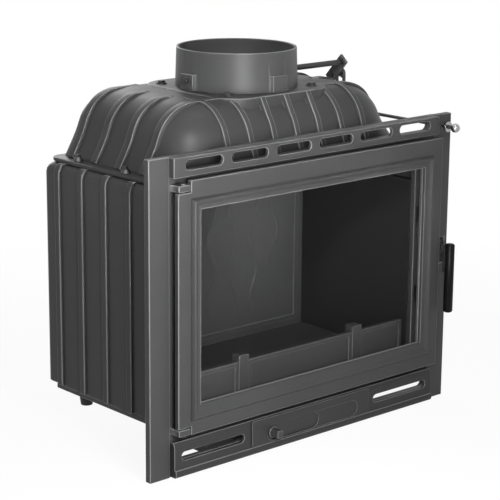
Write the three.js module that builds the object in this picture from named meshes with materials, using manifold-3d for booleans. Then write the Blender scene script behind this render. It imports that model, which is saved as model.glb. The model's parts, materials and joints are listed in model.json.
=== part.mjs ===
// Cast-iron fireplace insert: a glazed door in a flat frame, a ribbed firebox behind it and a domed
// hood that carries the flue collar and its damper.
// Millimetres, +Z up, +X to the right of someone who faces the door, +Y back into the hearth.
// The pieces are placed with Y = 0 on the face of the frame's columns, and the outer group then puts
// the origin under the middle of the whole insert, on the surface that it stands on.
import * as THREE from "three";
import { mergeVertices } from "three/addons/utils/BufferGeometryUtils.js";
import Module from "manifold-3d";

const wasm = await Module();
wasm.setup();

// Clearances
const seatGap = 0.3; // between pieces that touch
const pinGap = 0.3; // all round a pin, shaft or rod
const slideGap = 0.3; // each side of the air slider
const cut = 1; // how far a cutting solid runs past the face that it opens

// Sides of round pieces
const roundSides = 32;
const turnedSides = 24;
const smallSides = 16;
const rodSides = 12;
const hexSides = 6;

// Frame: two columns, and a backing plate set back between them
const frameWidth = 666;
const frameHeight = 510;
const frameThickness = 12;
const columnWidth = 39.5;
const backingSetback = 2;
const mouthInset = 43; // from the door's side edges to the firebox opening
const mouthRise = 25.5; // from the door's lower edge up to it
const mouthDrop = 30; // from the door's upper edge down to it
const lugHeight = 10.5;
const lugWidth = 22.5;
const lowerLugRise = 1; // above the door's lower edge
const upperLugDrop = 6; // below its upper edge

// Grille and lower panel, proud of the columns between them
const panelProud = 10;
const panelMargin = 1; // from a panel's or the door's edge to the column
const grilleHeight = 31;
const grilleDrop = 1; // below the frame's top edge
const grilleSlots = 6;
const grilleSlotLength = 75;
const grilleSlotHeight = 15.5;
const grilleSlotPitch = 93;
const grilleSlotDrop = 13.3; // below the grille's top edge
const panelWall = 6.6; // of the grille and the lower panel at their slots
const windowMargin = 2; // a window in the backing is larger than the opening before it
const pocketMargin = 9; // and longer than a row of slots, with a pocket in the panel to match
const panelBottom = 1.5;
const panelTop = 59;
const panelBevel = 7;
const panelBevelDepth = 3.5;
const beadHeight = 13.5; // of the round moulding along the panel's lower edge
const beadProud = 4;
const lowSlotLength = 130.5;
const lowSlotInset = 14.5; // from the panel's end
const lowSlotHeight = 14;
const lowSlotZ = 34.5;

// Air control in the lower panel
const airPlateWidth = 266;
const airPlateBottom = 16;
const airPlateTop = 58.5;
const airPlateThickness = 2.7;
const pillLength = 206;
const pillHeight = 27;
const pillX = 3;
const pillZ = 31;
const pillDepth = 1.2; // of the shallow recess; only the knob's slot goes through
const knobSlotLength = 116; // from the recess's left end
const sliderLength = 127;
const sliderHeight = 29;
const sliderThickness = 3.9;
const sliderTravel = 90;
const inletLength = 78;
const inletHeight = 22;
const inletX = -56;
const knobBaseRadius = 9.5;
const knobBaseLength = 4;
const knobLugWidth = 12;
const knobLugHeight = 13;
const knobLugLength = 16;
const knobInset = 14; // from the slider's left end to the knob

// Firebox shell
const bodyInset = 3.5; // each side, from the column's inner edge to the firebox wall
const bodyDepth = 319.7; // behind the frame
const bodyHeight = 376; // of the walls
const bodyWall = 5;
const bodyCorner = 15;
const bodyCurl = 18; // radius of the walls' inward curl at the top
const bodyRimWidth = 22;
const seamInset = 15; // from the wall's face to the joint between a side casting and the back one
const ribWidth = 13;
const ribHeight = 4;
const ribPitch = 62;
const firstRibY = 41;
const sideRibs = 5;
const backRibs = 9;
const baseBottom = 70.7;
const baseThickness = 8;
const baseInset = 28; // from the back wall to the base plate's rear edge
const footTopRadius = 15;
const footBottomRadius = 10;
const footHeight = 36.4;
const footSideInset = 50;
const footBackInset = 16;

// Air box under the base, with the ash pan in it
const airBoxWidth = 368;
const airBoxSetback = 29.7; // behind the frame
const airBoxDepth = 148;
const airBoxWall = 4;
const throatWidth = 224;
const throatBottom = 6;
const throatTop = 56;
const grateHoleWidth = 240;
const grateHoleFront = 62;
const grateHoleBack = 172;
const ashPanMargin = 6;
const ashPanHeight = 42;
const ashPanWall = 2;

// Firebox interior
const linerThickness = 16;
const linerHeight = 316;
const linerSetback = 18.7; // behind the frame
const backLinerInset = 31; // from the body's rear face to the back liner's face
const backLinerThickness = 14;
const borderWidth = 9;
const borderHeight = 3;
const borderInset = 12;
const baffleThickness = 8;
const baffleDepth = 220;
const grateRim = 10;
const grateThickness = 7;
const grateBars = 9;
const grateBarWidth = 12;
const retainerInset = 9.5; // each side, inside the firebox opening
const retainerHeight = 75;
const retainerSetback = 5; // behind the frame
const retainerThickness = 8;
const retainerBorder = 7;
const retainerBorderProud = 2;
const postX = 128.5;
const postWidth = 21.7;
const postDepth = 16;
const postHeight = 86;
const postCorner = 3;

// Hood: rings of a rounded rectangle, by their rise above the lip and their insets from the body's
// side walls, front and back, with the radius of the front and back corners
const hoodRings = [
  { rise: 0, side: 28, front: 3.7, back: 10, frontCorner: 80, backCorner: 22 },
  { rise: 38.5, side: 49, front: 19.7, back: 11, frontCorner: 78, backCorner: 22 },
  { rise: 68.5, side: 61.5, front: 31.2, back: 13, frontCorner: 71, backCorner: 22 },
  { rise: 87.5, side: 77, front: 46.7, back: 18, frontCorner: 61, backCorner: 24 },
  { rise: 100.5, side: 100, front: 66.7, back: 29, frontCorner: 54, backCorner: 28 },
  { rise: 106.5, side: 135, front: 90.7, back: 44, frontCorner: 50, backCorner: 30 },
];
const hoodWall = 5;
const hoodLipInset = 8; // from the body's side walls
const hoodLipBackInset = 6;
const hoodLipThickness = 6.2;
const hoodLipCorner = 20;
const hoodRibHeight = 4;
const hoodFrontRibWidth = 11.5;
const hoodFrontRibPitch = 50;
const hoodFrontRibs = 7;
const seatWidth = 236;
const seatReach = 120.5; // each way along Y from the flue's axis
const seatCorner = 50;
const seatDepth = 24;
const seatRise = 1; // above the hood's top
const lipBoltRadius = 5;
const lipBoltHeight = 5;
const lipBossRadius = 9;
const lipBossTopRadius = 6;
const lipBossHeight = 6;
const lipBoltInset = 18; // from the body's side wall

// Flue collar and damper
const collarSetback = 170.5; // from the frame's back to the flue's axis
const collarRadius = 100;
const collarBaseRadius = 102;
const collarBore = 96;
const collarHeight = 64.4;
const flueHole = 92;
const padWidth = 30;
const padProud = 8;
const padHeight = 26.7;
const collarBoltX = 91;
const collarBoltY = 85.5; // each way from the collar's axis
const collarBoltRadius = 7;
const collarBoltHeight = 5;
const shaftRadius = 5;
const shaftRise = 15.7; // above the collar's foot
const shaftStub = 4; // past the pad on the left
const flapGap = 8; // round the flap inside the collar
const flapThickness = 4;
const crankInset = 47; // from the body's side wall
const crankThickness = 5;
const crankWidth = 19.5;
const crankLength = 35;
const crankLean = 42; // degrees behind straight down
const crankPinRadius = 4;
const crankHeadRadius = 7;
const crankHeadLength = 4;

// Damper pull
const rodRadius = 3;
const rodInset = 20; // from the frame's side edge
const rodDrop = 21; // below the frame's top edge
const rodStop = 1; // inside the ball, in front of its middle
const rodBendLead = 32.5; // from the bend to the damper's shaft
const rodBendReach = 26; // how far the rod keeps its direction at each end of the bend
const eyeOffset = 17; // from the crank to the eye
const eyeThickness = 4;
const eyeRim = 4.5;
const eyeSlotWidth = 13;
const eyeSlotHeight = 24;
const eyeSlotDrop = 4.5; // from the crank's bolt down to the slot's middle
const ringRadius = 9.3;
const ringBackRadius = 7.8;
const ringFront = -13;
const ringLength = 6;
const ballRadius = 8;
const ballGap = 7; // from the ring to the ball's far side

// Door
const doorRise = 11.5; // above the lower panel
const doorDrop = 4; // below the grille
const doorFront = -20;
const doorThickness = 9;
const rimWidth = 14;
const rimDepth = 9; // behind the door's plate
const rimInset = 16.5; // from the door's side edges
const rimRise = 13.5;
const rimDrop = 18;
const sightInset = 44.5; // from the door's side edges to the sight opening
const sightRise = 47.5;
const sightDrop = 47;
const sightBevel = 12;
const sightBevelDepth = 5;
const notchGap = 1.7; // from a lug to the door's notch
const hingeInset = 12.5; // from the door's left edge to the hinge's axis
const hingeDepth = 5.5; // behind the door's face
const hingePinRadius = 4;
const hingePinLength = 26;
const hingeHeadRadius = 6.5;
const hingeHeadHeight = 3;
const hingeFootHeight = 1.5; // of the lower pin's head, under its lug
const glassThickness = 4;
const glassOverlap = 8; // of the glass behind the door's plate
const glassSealThickness = 1.4;
const clipThickness = 2;
const clipWidth = 30;
const clipHeight = 16;
const clipZ = 70; // each way from the middle of the sight opening
const doorSealWidth = 9;

// Door handle and latch
const grabRadius = 8.25;
const grabLength = 122;
const grabRise = 12; // its top above the pivot
const grabStandoff = 13; // from the door's face to the grip's axis
const leverReach = 12.4; // from the door's right edge to the lever's middle
const leverWidth = 9;
const leverStrap = 4;
const leverStrapDrop = 40; // below the pivot
const leverStrapMargin = 2; // from the strap's top to the grip's
const hubRadius = 8.5;
const hubWidth = 13;
const pivotDepth = 8; // behind the door's face
const pivotRise = 205.5; // above the door's lower edge
const pivotRadius = 4;
const pivotHeadRadius = 6;
const pivotHeadLength = 2.5;
const bracketThickness = 3.5;
const bracketHeight = 34;
const bracketDepth = 14.5;
const tongueHeight = 8;
const tongueReach = 8; // behind the frame
const latchSlotWidth = 28;
const latchSlotDrop = 30; // below the pivot
const latchSlotRise = 16; // above it
const latchSlotInset = 21; // from the frame's side edge to the slot's middle
const keeperThickness = 3;
const keeperHeight = 22;
const keeperBar = 5;
const keeperReach = 9; // into the slot, in front of the frame's back

// Places that follow from the sizes above
const columnInner = frameWidth / 2 - columnWidth;
const frameBack = frameThickness;
const panelBack = backingSetback - seatGap;
const panelHalf = columnInner - panelMargin;
const grilleTop = frameHeight - grilleDrop;
const grilleBottom = grilleTop - grilleHeight;

const bodyFront = frameBack + seatGap;
const bodyBack = bodyFront + bodyDepth;
const bodyHalf = columnInner - bodyInset;
const wallInner = bodyHalf - bodyWall;
const wallBottom = baseBottom + baseThickness + seatGap;
const bodyTop = wallBottom + bodyHeight;
const floorZ = wallBottom;
const baseBack = bodyBack - baseInset;
const seamX = bodyHalf - seamInset;
const linerTop = floorZ + linerHeight;
const backLinerFace = bodyBack - backLinerInset;

const hoodLipBottom = bodyTop + seatGap;
const hoodLipTop = hoodLipBottom + hoodLipThickness;
const seatTop = hoodLipTop + hoodRings.at(-1).rise + seatRise;
const collarY = frameBack + collarSetback;
const collarBottom = seatTop + seatGap;
const collarTop = collarBottom + collarHeight;
const shaftZ = collarBottom + shaftRise;
const crankX = bodyHalf - crankInset;
const shaftRightEnd = crankX + crankThickness + 2 * seatGap;
const lean = THREE.MathUtils.degToRad(crankLean);
const crankPinY = collarY + crankLength * Math.sin(lean);
const crankPinZ = shaftZ - crankLength * Math.cos(lean);

const eyeX = crankX + crankThickness + eyeOffset;
const eyeSlotZ = crankPinZ - eyeSlotDrop;
const rodX = frameWidth / 2 - rodInset;
const rodZ = frameHeight - rodDrop;
const rodBend = collarY - rodBendLead;
const ballY = ringFront - ballGap - ballRadius;
const rodFront = ballY + rodStop;

const doorHalf = columnInner - panelMargin;
const doorBottom = panelTop + doorRise;
const doorTop = grilleBottom - doorDrop;
const doorBack = doorFront + doorThickness; // back of the door's plate
const rimBack = doorBack + rimDepth;
const rimHalf = doorHalf - rimInset;
const rimBottom = doorBottom + rimRise;
const rimTop = doorTop - rimDrop;
const mouthHalf = doorHalf - mouthInset;
const mouthBottom = doorBottom + mouthRise;
const mouthTop = doorTop - mouthDrop;
const sightHalf = doorHalf - sightInset;
const sightBottom = doorBottom + sightRise;
const sightTop = doorTop - sightDrop;
const lowerLugZ = doorBottom + lowerLugRise;
const upperLugZ = doorTop - upperLugDrop - lugHeight;
const hingeX = hingeInset - doorHalf;
const hingeY = doorFront + hingeDepth;

const pivotY = doorFront + pivotDepth;
const pivotZ = doorBottom + pivotRise;
const leverX = doorHalf + leverReach;
const grabY = doorFront - grabStandoff;
const grabTop = pivotZ + grabRise;
const grabBottom = grabTop - grabLength;
const latchSlotX = frameWidth / 2 - latchSlotInset;

const overallBack = bodyBack + ribHeight;
const overallFront = grabY - grabRadius;

const iron = { color: 0x3b3c3e, roughness: 0.72, metalness: 0.35 };
const darkIron = { color: 0x2c2d2f, roughness: 0.8, metalness: 0.3 };
const steel = { color: 0x8d8f92, roughness: 0.4, metalness: 0.9 };
const chrome = { color: 0xd0d2d4, roughness: 0.12, metalness: 1 };
const blackGrip = { color: 0x141415, roughness: 0.45, metalness: 0.1 };
const rope = { color: 0x4a4946, roughness: 0.95, metalness: 0 };
const glass = { color: 0x9aa2a4, roughness: 0.05, metalness: 0, transparent: true, opacity: 0.3 };

const insert = new THREE.Group();
insert.position.y = -(overallFront + overallBack) / 2;

// Solids

// A closed geometry as a manifold solid.
function solidOf(geometry) {
  const bare = geometry.clone();
  bare.deleteAttribute("normal");
  bare.deleteAttribute("uv");
  const merged = mergeVertices(bare, 1e-4);
  return new wasm.Manifold(
    new wasm.Mesh({
      numProp: 3,
      vertProperties: merged.attributes.position.array,
      triVerts: new Uint32Array(merged.index.array),
    }),
  );
}

function box([x0, x1], [y0, y1], [z0, z1]) {
  const geometry = new THREE.BoxGeometry(x1 - x0, y1 - y0, z1 - z0);
  geometry.translate((x0 + x1) / 2, (y0 + y1) / 2, (z0 + z1) / 2);
  return solidOf(geometry);
}

// A cylinder or cone along X, Y or Z. `centre` gives the two other coordinates, in X, Y, Z order.
function round(axis, radius, [from, to], centre, endRadius = radius, sides = roundSides) {
  const geometry = new THREE.CylinderGeometry(endRadius, radius, to - from, sides);
  const middle = (from + to) / 2;
  if (axis === "x") {
    geometry.rotateZ(-Math.PI / 2).translate(middle, centre[0], centre[1]);
  } else if (axis === "y") {
    geometry.translate(centre[0], middle, centre[1]);
  } else {
    geometry.rotateX(Math.PI / 2).translate(centre[0], centre[1], middle);
  }
  return solidOf(geometry);
}

const unitX = new THREE.Vector3(1, 0, 0);
const unitY = new THREE.Vector3(0, 1, 0);
const unitZ = new THREE.Vector3(0, 0, 1);
const planes = {
  xy: { basis: new THREE.Matrix4(), normal: unitZ, start: ([from]) => from },
  xz: {
    basis: new THREE.Matrix4().makeBasis(unitX, unitZ, unitY.clone().negate()),
    normal: unitY,
    start: ([, to]) => to,
  },
  yz: {
    basis: new THREE.Matrix4().makeBasis(unitY, unitZ, unitX),
    normal: unitX,
    start: ([from]) => from,
  },
};

// An outline in one plane, extruded across it from one coordinate to the other.
function prism(plane, outline, range, curveSegments = 8) {
  const shape = Array.isArray(outline)
    ? new THREE.Shape(outline.map(([u, v]) => new THREE.Vector2(u, v)))
    : outline;
  const depth = range[1] - range[0];
  const geometry = new THREE.ExtrudeGeometry(shape, { depth, bevelEnabled: false, curveSegments });
  const { basis, normal, start } = planes[plane];
  geometry.applyMatrix4(basis);
  geometry.translate(...normal.clone().multiplyScalar(start(range)).toArray());
  return solidOf(geometry);
}

// A rectangle from (u0, v0) to (u1, v1) with round corners.
function roundedRectangle([u0, u1], [v0, v1], radius) {
  const r = Math.min(radius, (u1 - u0) / 2 - 0.01, (v1 - v0) / 2 - 0.01);
  const shape = new THREE.Shape();
  shape.absarc(u1 - r, v1 - r, r, 0, Math.PI / 2);
  shape.absarc(u0 + r, v1 - r, r, Math.PI / 2, Math.PI);
  shape.absarc(u0 + r, v0 + r, r, Math.PI, 1.5 * Math.PI);
  shape.absarc(u1 - r, v0 + r, r, 1.5 * Math.PI, 2 * Math.PI);
  return shape;
}

// A slot with round ends, by its middle, length and height.
function stadium(u, v, length, height) {
  const halfLength = length / 2;
  const halfHeight = height / 2;
  return roundedRectangle(
    [u - halfLength, u + halfLength],
    [v - halfHeight, v + halfHeight],
    halfHeight,
  );
}

// A closed skin through rings of points that turn counter-clockwise seen from their last ring.
function loft(rings) {
  const count = rings[0].length;
  const points = rings.flat();
  const middle = (ring) =>
    ring.reduce((sum, p) => sum.add(p), new THREE.Vector3()).divideScalar(ring.length);
  const bottom = points.push(middle(rings[0])) - 1;
  const top = points.push(middle(rings.at(-1))) - 1;
  const lastStart = (rings.length - 1) * count;
  const index = [];
  for (let j = 0; j < count; j++) {
    const next = (j + 1) % count;
    for (let i = 0; i < rings.length - 1; i++) {
      const a = i * count + j;
      const b = i * count + next;
      index.push(a, b, b + count, a, b + count, a + count);
    }
    index.push(bottom, next, j, top, lastStart + j, lastStart + next);
  }
  const geometry = new THREE.BufferGeometry().setFromPoints(points);
  geometry.setIndex(index);
  return geometry;
}

// One ring of a rounded rectangle in plan.
function planRing({ z, half, front, back, frontCorner, backCorner }, steps = 6) {
  const corners = [
    [half - backCorner, back - backCorner, backCorner],
    [backCorner - half, back - backCorner, backCorner],
    [frontCorner - half, front + frontCorner, frontCorner],
    [half - frontCorner, front + frontCorner, frontCorner],
  ];
  return corners.flatMap(([x, y, r], quarter) =>
    Array.from({ length: steps + 1 }, (_, i) => {
      const angle = ((quarter + i / steps) * Math.PI) / 2;
      return new THREE.Vector3(x + r * Math.cos(angle), y + r * Math.sin(angle), z);
    }),
  );
}

function joined(first, ...rest) {
  return rest.reduce((whole, piece) => whole.add(piece), first);
}

function without(first, ...rest) {
  return rest.reduce((whole, piece) => whole.subtract(piece), first);
}

// Names a solid, gives it its material and places it in the insert.
function place(name, solid, finish, parent = insert) {
  const { vertProperties, triVerts } = solid.getMesh();
  const geometry = new THREE.BufferGeometry();
  geometry.setAttribute("position", new THREE.BufferAttribute(vertProperties, 3));
  geometry.setIndex(new THREE.BufferAttribute(triVerts, 1));
  geometry.computeVertexNormals();
  const mesh = new THREE.Mesh(geometry, new THREE.MeshStandardMaterial(finish));
  mesh.name = name;
  parent.add(mesh);
  return mesh;
}

const mirrorX = new THREE.Matrix4().makeScale(-1, 1, 1);

// The same solid on the other side of X = 0.
function mirrored(solid) {
  const { vertProperties, triVerts } = solid.getMesh();
  const geometry = new THREE.BufferGeometry();
  geometry.setAttribute("position", new THREE.BufferAttribute(vertProperties, 3));
  const turned = triVerts.map((_, i) => triVerts[i - 2 * (i % 3) + 2]);
  geometry.setIndex(new THREE.BufferAttribute(turned, 1));
  return solidOf(geometry.applyMatrix4(mirrorX));
}

// Front

function grilleSlotCentres() {
  const first = (-grilleSlotPitch * (grilleSlots - 1)) / 2;
  return Array.from({ length: grilleSlots }, (_, i) => first + i * grilleSlotPitch);
}

const grilleSlotZ = grilleTop - grilleSlotDrop;
const lowSlotCentre = panelHalf - lowSlotInset - lowSlotLength / 2;
const pocketFront = -panelProud + panelWall;

// The window behind the whole row of grille slots, and the one behind a low slot: openings in the
// frame's backing, and pockets in the back of the panels.
function grilleWindow() {
  const rowLength = grilleSlotPitch * (grilleSlots - 1) + grilleSlotLength;
  return stadium(0, grilleSlotZ, rowLength + 2 * pocketMargin, grilleSlotHeight + 2 * windowMargin);
}

function lowSlotWindow(x) {
  return stadium(x, lowSlotZ, lowSlotLength + 2 * pocketMargin, lowSlotHeight + 2 * windowMargin);
}

function addFrontFrame() {
  const backing = [backingSetback, frameBack];
  const through = [backingSetback - cut, frameBack + cut];
  let frame = box([-columnInner - cut, columnInner + cut], backing, [0, frameHeight]);
  for (const side of [-1, 1]) {
    const edges = [side * columnInner, (side * frameWidth) / 2].sort((a, b) => a - b);
    frame = frame.add(box(edges, [0, frameBack], [0, frameHeight]));
  }
  const lugEdges = [hingeX - lugWidth / 2, hingeX + lugWidth / 2];
  for (const z of [lowerLugZ, upperLugZ]) {
    const lug = box(lugEdges, [doorFront, backingSetback + cut], [z, z + lugHeight]);
    const hole = round("z", hingePinRadius + pinGap, [z - cut, z + lugHeight + cut], [hingeX, hingeY]);
    frame = frame.add(lug).subtract(hole);
  }
  frame = frame.subtract(box([-mouthHalf, mouthHalf], through, [mouthBottom, mouthTop]));
  frame = without(frame, prism("xz", grilleWindow(), through));
  for (const x of [-lowSlotCentre, lowSlotCentre]) {
    frame = frame.subtract(prism("xz", lowSlotWindow(x), through));
  }
  const inlet = stadium(inletX, pillZ, inletLength + 2 * windowMargin, inletHeight + 2 * windowMargin);
  const latchSlot = box(
    [latchSlotX - latchSlotWidth / 2, latchSlotX + latchSlotWidth / 2],
    [-cut, frameBack + cut],
    [pivotZ - latchSlotDrop, pivotZ + latchSlotRise],
  );
  const rodHole = round("y", rodRadius + pinGap, [-cut, frameBack + cut], [rodX, rodZ]);
  frame = without(frame, prism("xz", inlet, through), latchSlot, rodHole);
  place("front_frame", frame, iron);
}

function addGrille() {
  const depth = [-panelProud, panelBack];
  const through = [-panelProud - cut, panelBack + cut];
  const pocket = prism("xz", grilleWindow(), [pocketFront, panelBack + cut]);
  let plate = box([-panelHalf, panelHalf], depth, [grilleBottom, grilleTop]).subtract(pocket);
  for (const x of grilleSlotCentres()) {
    const slot = stadium(x, grilleSlotZ, grilleSlotLength, grilleSlotHeight);
    plate = plate.subtract(prism("xz", slot, through));
  }
  place("grille_plate", plate, iron);
}

const sliderPocketBack = -panelProud + slideGap + sliderThickness + slideGap;
const sliderLeft = pillX - pillLength / 2 - 1;

function addLowerPanel() {
  const through = [-panelProud - beadProud - cut, panelBack + cut];
  const beadRadius = beadHeight / 2;
  const bead = [0.85, 0.5, 0, -0.5, -0.85].map((rise) => [
    -panelProud - beadProud * Math.sqrt(1 - rise * rise),
    panelBottom + beadRadius * (1 + rise),
  ]);
  const section = [
    [panelBack, panelBottom],
    [panelBack, panelTop],
    [-panelProud + panelBevelDepth, panelTop],
    [-panelProud, panelTop - panelBevel],
    [-panelProud, panelBottom + beadHeight],
    ...bead,
    [-panelProud, panelBottom],
  ];
  let panel = prism("yz", section.reverse(), [-panelHalf, panelHalf]);
  for (const x of [-lowSlotCentre, lowSlotCentre]) {
    const slot = prism("xz", stadium(x, lowSlotZ, lowSlotLength, lowSlotHeight), through);
    panel = without(panel, slot, prism("xz", lowSlotWindow(x), [pocketFront, panelBack + cut]));
  }
  const pocket = box(
    [sliderLeft - slideGap, sliderLeft + sliderLength + sliderTravel + slideGap],
    [-panelProud - cut, sliderPocketBack],
    [pillZ - sliderHeight / 2 - slideGap, pillZ + sliderHeight / 2 + slideGap],
  );
  const inlet = prism("xz", stadium(inletX, pillZ, inletLength, inletHeight), through);
  place("lower_panel", without(panel, pocket, inlet), iron);
}

function addAirControl() {
  const plateBack = -panelProud - seatGap;
  const plateFront = plateBack - airPlateThickness;
  const recess = prism("xz", stadium(pillX, pillZ, pillLength, pillHeight), [
    plateFront - cut,
    plateFront + pillDepth,
  ]);
  const knobSlotX = pillX - (pillLength - knobSlotLength) / 2;
  const knobSlot = prism("xz", stadium(knobSlotX, pillZ, knobSlotLength, pillHeight), [
    plateFront - cut,
    plateBack + cut,
  ]);
  const plateEdges = [-airPlateWidth / 2, airPlateWidth / 2];
  const plate = prism(
    "xz",
    roundedRectangle(plateEdges, [airPlateBottom, airPlateTop], 3),
    [plateFront, plateBack],
    3,
  );
  place("air_plate", without(plate, recess, knobSlot), iron);

  const sliderFront = -panelProud + slideGap;
  const halfHeight = sliderHeight / 2;
  const outline = new THREE.Shape();
  const arcX = sliderLeft + sliderLength - halfHeight;
  outline.moveTo(sliderLeft, pillZ - halfHeight);
  outline.lineTo(arcX, pillZ - halfHeight);
  outline.absarc(arcX, pillZ, halfHeight, -Math.PI / 2, Math.PI / 2);
  outline.lineTo(sliderLeft, pillZ + halfHeight);
  place("air_slider", prism("xz", outline, [sliderFront, sliderFront + sliderThickness]), darkIron);

  const knobX = sliderLeft + knobInset;
  const baseBackY = sliderFront - seatGap;
  const lugBack = baseBackY - knobBaseLength;
  const base = round("y", knobBaseRadius, [lugBack, baseBackY], [knobX, pillZ]);
  const lug = prism(
    "xz",
    roundedRectangle(
      [knobX - knobLugWidth / 2, knobX + knobLugWidth / 2],
      [pillZ - knobLugHeight / 2, pillZ + knobLugHeight / 2],
      2.5,
    ),
    [lugBack - knobLugLength, lugBack + cut],
    3,
  );
  place("slider_knob", base.add(lug), iron);
}

// Firebox

// Height and inward step of each ring of the walls' curl, for an arc of the given radius.
function curlRings(radius, start, half, back) {
  const steps = 5;
  return Array.from({ length: steps + 1 }, (_, i) => {
    const angle = (i / steps) * (Math.PI / 2);
    const inward = radius * (1 - Math.cos(angle));
    return { z: start + radius * Math.sin(angle), half: half - inward, back: back - inward };
  });
}

function bodySkin(offset, bottom) {
  const rings = [
    { z: bottom, half: bodyHalf - offset, back: bodyBack - offset },
    ...curlRings(bodyCurl - offset, bodyTop - bodyCurl, bodyHalf - offset, bodyBack - offset),
  ];
  return solidOf(
    loft(
      rings.map((ring) =>
        planRing({
          ...ring,
          front: -bodyCorner,
          frontCorner: bodyCorner / 2,
          backCorner: bodyCorner - offset / 2,
        }),
      ),
    ),
  );
}

// Section of a wall rib: up the wall's outside and round its curl, `outer` being the wall's face.
function wallRibSection(outer) {
  const centre = outer - bodyCurl;
  const start = bodyTop - bodyCurl;
  const reach = bodyCurl + ribHeight;
  const lastAngle = Math.asin(bodyCurl / reach);
  const arc = Array.from({ length: 5 }, (_, i) => {
    const angle = (i / 4) * lastAngle;
    return [centre + reach * Math.cos(angle), start + reach * Math.sin(angle)];
  });
  const sunk = bodyWall / 2;
  return [
    [outer - sunk, wallBottom],
    [outer + ribHeight, wallBottom],
    ...arc,
    [centre + sunk, bodyTop],
    [centre + sunk, bodyTop - sunk],
    [centre + (bodyCurl - sunk) * Math.SQRT1_2, start + (bodyCurl - sunk) * Math.SQRT1_2],
    [outer - sunk, start],
  ];
}

const sideRibCentres = Array.from({ length: sideRibs }, (_, i) => firstRibY + i * ribPitch);

function addCastings() {
  const rim = box(
    [bodyRimWidth - bodyHalf, bodyHalf - bodyRimWidth],
    [-2 * bodyCorner, bodyBack - bodyRimWidth],
    [bodyTop - 2 * bodyWall, bodyTop + cut],
  );
  const frontCut = box([-frameWidth, frameWidth], [-3 * bodyCorner, bodyFront], [0, bodyTop + cut]);
  let shell = without(bodySkin(0, wallBottom), bodySkin(bodyWall, wallBottom - cut), rim, frontCut);
  for (const y of sideRibCentres) {
    const rib = prism("xz", wallRibSection(bodyHalf), [y - ribWidth / 2, y + ribWidth / 2]);
    shell = shell.add(rib).add(mirrored(rib));
  }
  for (let i = 0; i < backRibs; i++) {
    const x = (i - (backRibs - 1) / 2) * ribPitch;
    shell = shell.add(prism("yz", wallRibSection(bodyBack), [x - ribWidth / 2, x + ribWidth / 2]));
  }
  const far = frameWidth;
  const seam = seamX + seatGap / 2;
  const right = shell.intersect(box([seam, far], [0, far], [0, far]));
  place("side_casting_right", right, iron);
  place("side_casting_left", mirrored(right), iron);
  const back = box([seatGap - seam, seam - seatGap], [bodyBack - 2 * bodyRimWidth, far], [0, far]);
  place("back_casting", shell.intersect(back), iron);
}

function addBase() {
  const baseTop = baseBottom + baseThickness;
  const outline = roundedRectangle([-bodyHalf, bodyHalf], [bodyFront, baseBack], 3);
  const hole = box(
    [-grateHoleWidth / 2, grateHoleWidth / 2],
    [grateHoleFront, grateHoleBack],
    [baseBottom - cut, baseTop + cut],
  );
  place("base_plate", prism("xy", outline, [baseBottom, baseTop], 2).subtract(hole), iron);
  for (const side of [-1, 1]) {
    const foot = round(
      "z",
      footBottomRadius,
      [baseBottom - seatGap - footHeight, baseBottom - seatGap],
      [side * (bodyHalf - footSideInset), baseBack - footBackInset],
      footTopRadius,
      24,
    );
    place(side < 0 ? "rear_foot_left" : "rear_foot_right", foot, iron);
  }
}

function addAirBox() {
  const top = baseBottom - seatGap;
  const airBoxFront = bodyFront + airBoxSetback;
  const airBoxBack = airBoxFront + airBoxDepth;
  const half = airBoxWidth / 2;
  const inner = half - airBoxWall;
  const throat = throatWidth / 2;
  const shell = joined(
    box([-half, half], [airBoxFront, airBoxBack], [0, top]),
    box([-throat, throat], [bodyFront, airBoxFront + cut], [throatBottom, throatTop]),
  );
  const hollow = joined(
    box([-inner, inner], [airBoxFront + airBoxWall, airBoxBack - airBoxWall], [airBoxWall, top + cut]),
    box(
      [airBoxWall - throat, throat - airBoxWall],
      [bodyFront - cut, airBoxFront + airBoxWall + cut],
      [throatBottom + airBoxWall, throatTop - airBoxWall],
    ),
  );
  place("air_box", shell.subtract(hollow), darkIron);

  const panHalf = inner - ashPanMargin;
  const panFront = airBoxFront + airBoxWall + ashPanMargin;
  const panBack = airBoxBack - airBoxWall - ashPanMargin;
  const panBottom = airBoxWall + seatGap;
  const pan = box([-panHalf, panHalf], [panFront, panBack], [panBottom, panBottom + ashPanHeight]);
  const bowl = box(
    [ashPanWall - panHalf, panHalf - ashPanWall],
    [panFront + ashPanWall, panBack - ashPanWall],
    [panBottom + ashPanWall, panBottom + ashPanHeight + cut],
  );
  place("ash_pan", pan.subtract(bowl), steel);
}

function addGrate() {
  const half = grateHoleWidth / 2 + grateRim;
  const front = grateHoleFront - grateRim;
  const back = grateHoleBack + grateRim;
  const top = floorZ + grateThickness;
  let grate = box([-half, half], [front, back], [floorZ, top]);
  const gaps = grateBars + 1;
  const gapWidth = (grateHoleWidth - grateBars * grateBarWidth) / gaps;
  for (let i = 0; i < gaps; i++) {
    const start = -grateHoleWidth / 2 + i * (gapWidth + grateBarWidth);
    const gap = box([start, start + gapWidth], [grateHoleFront, grateHoleBack], [floorZ - cut, top + cut]);
    grate = grate.subtract(gap);
  }
  place("grate", grate, darkIron);
}

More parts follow.
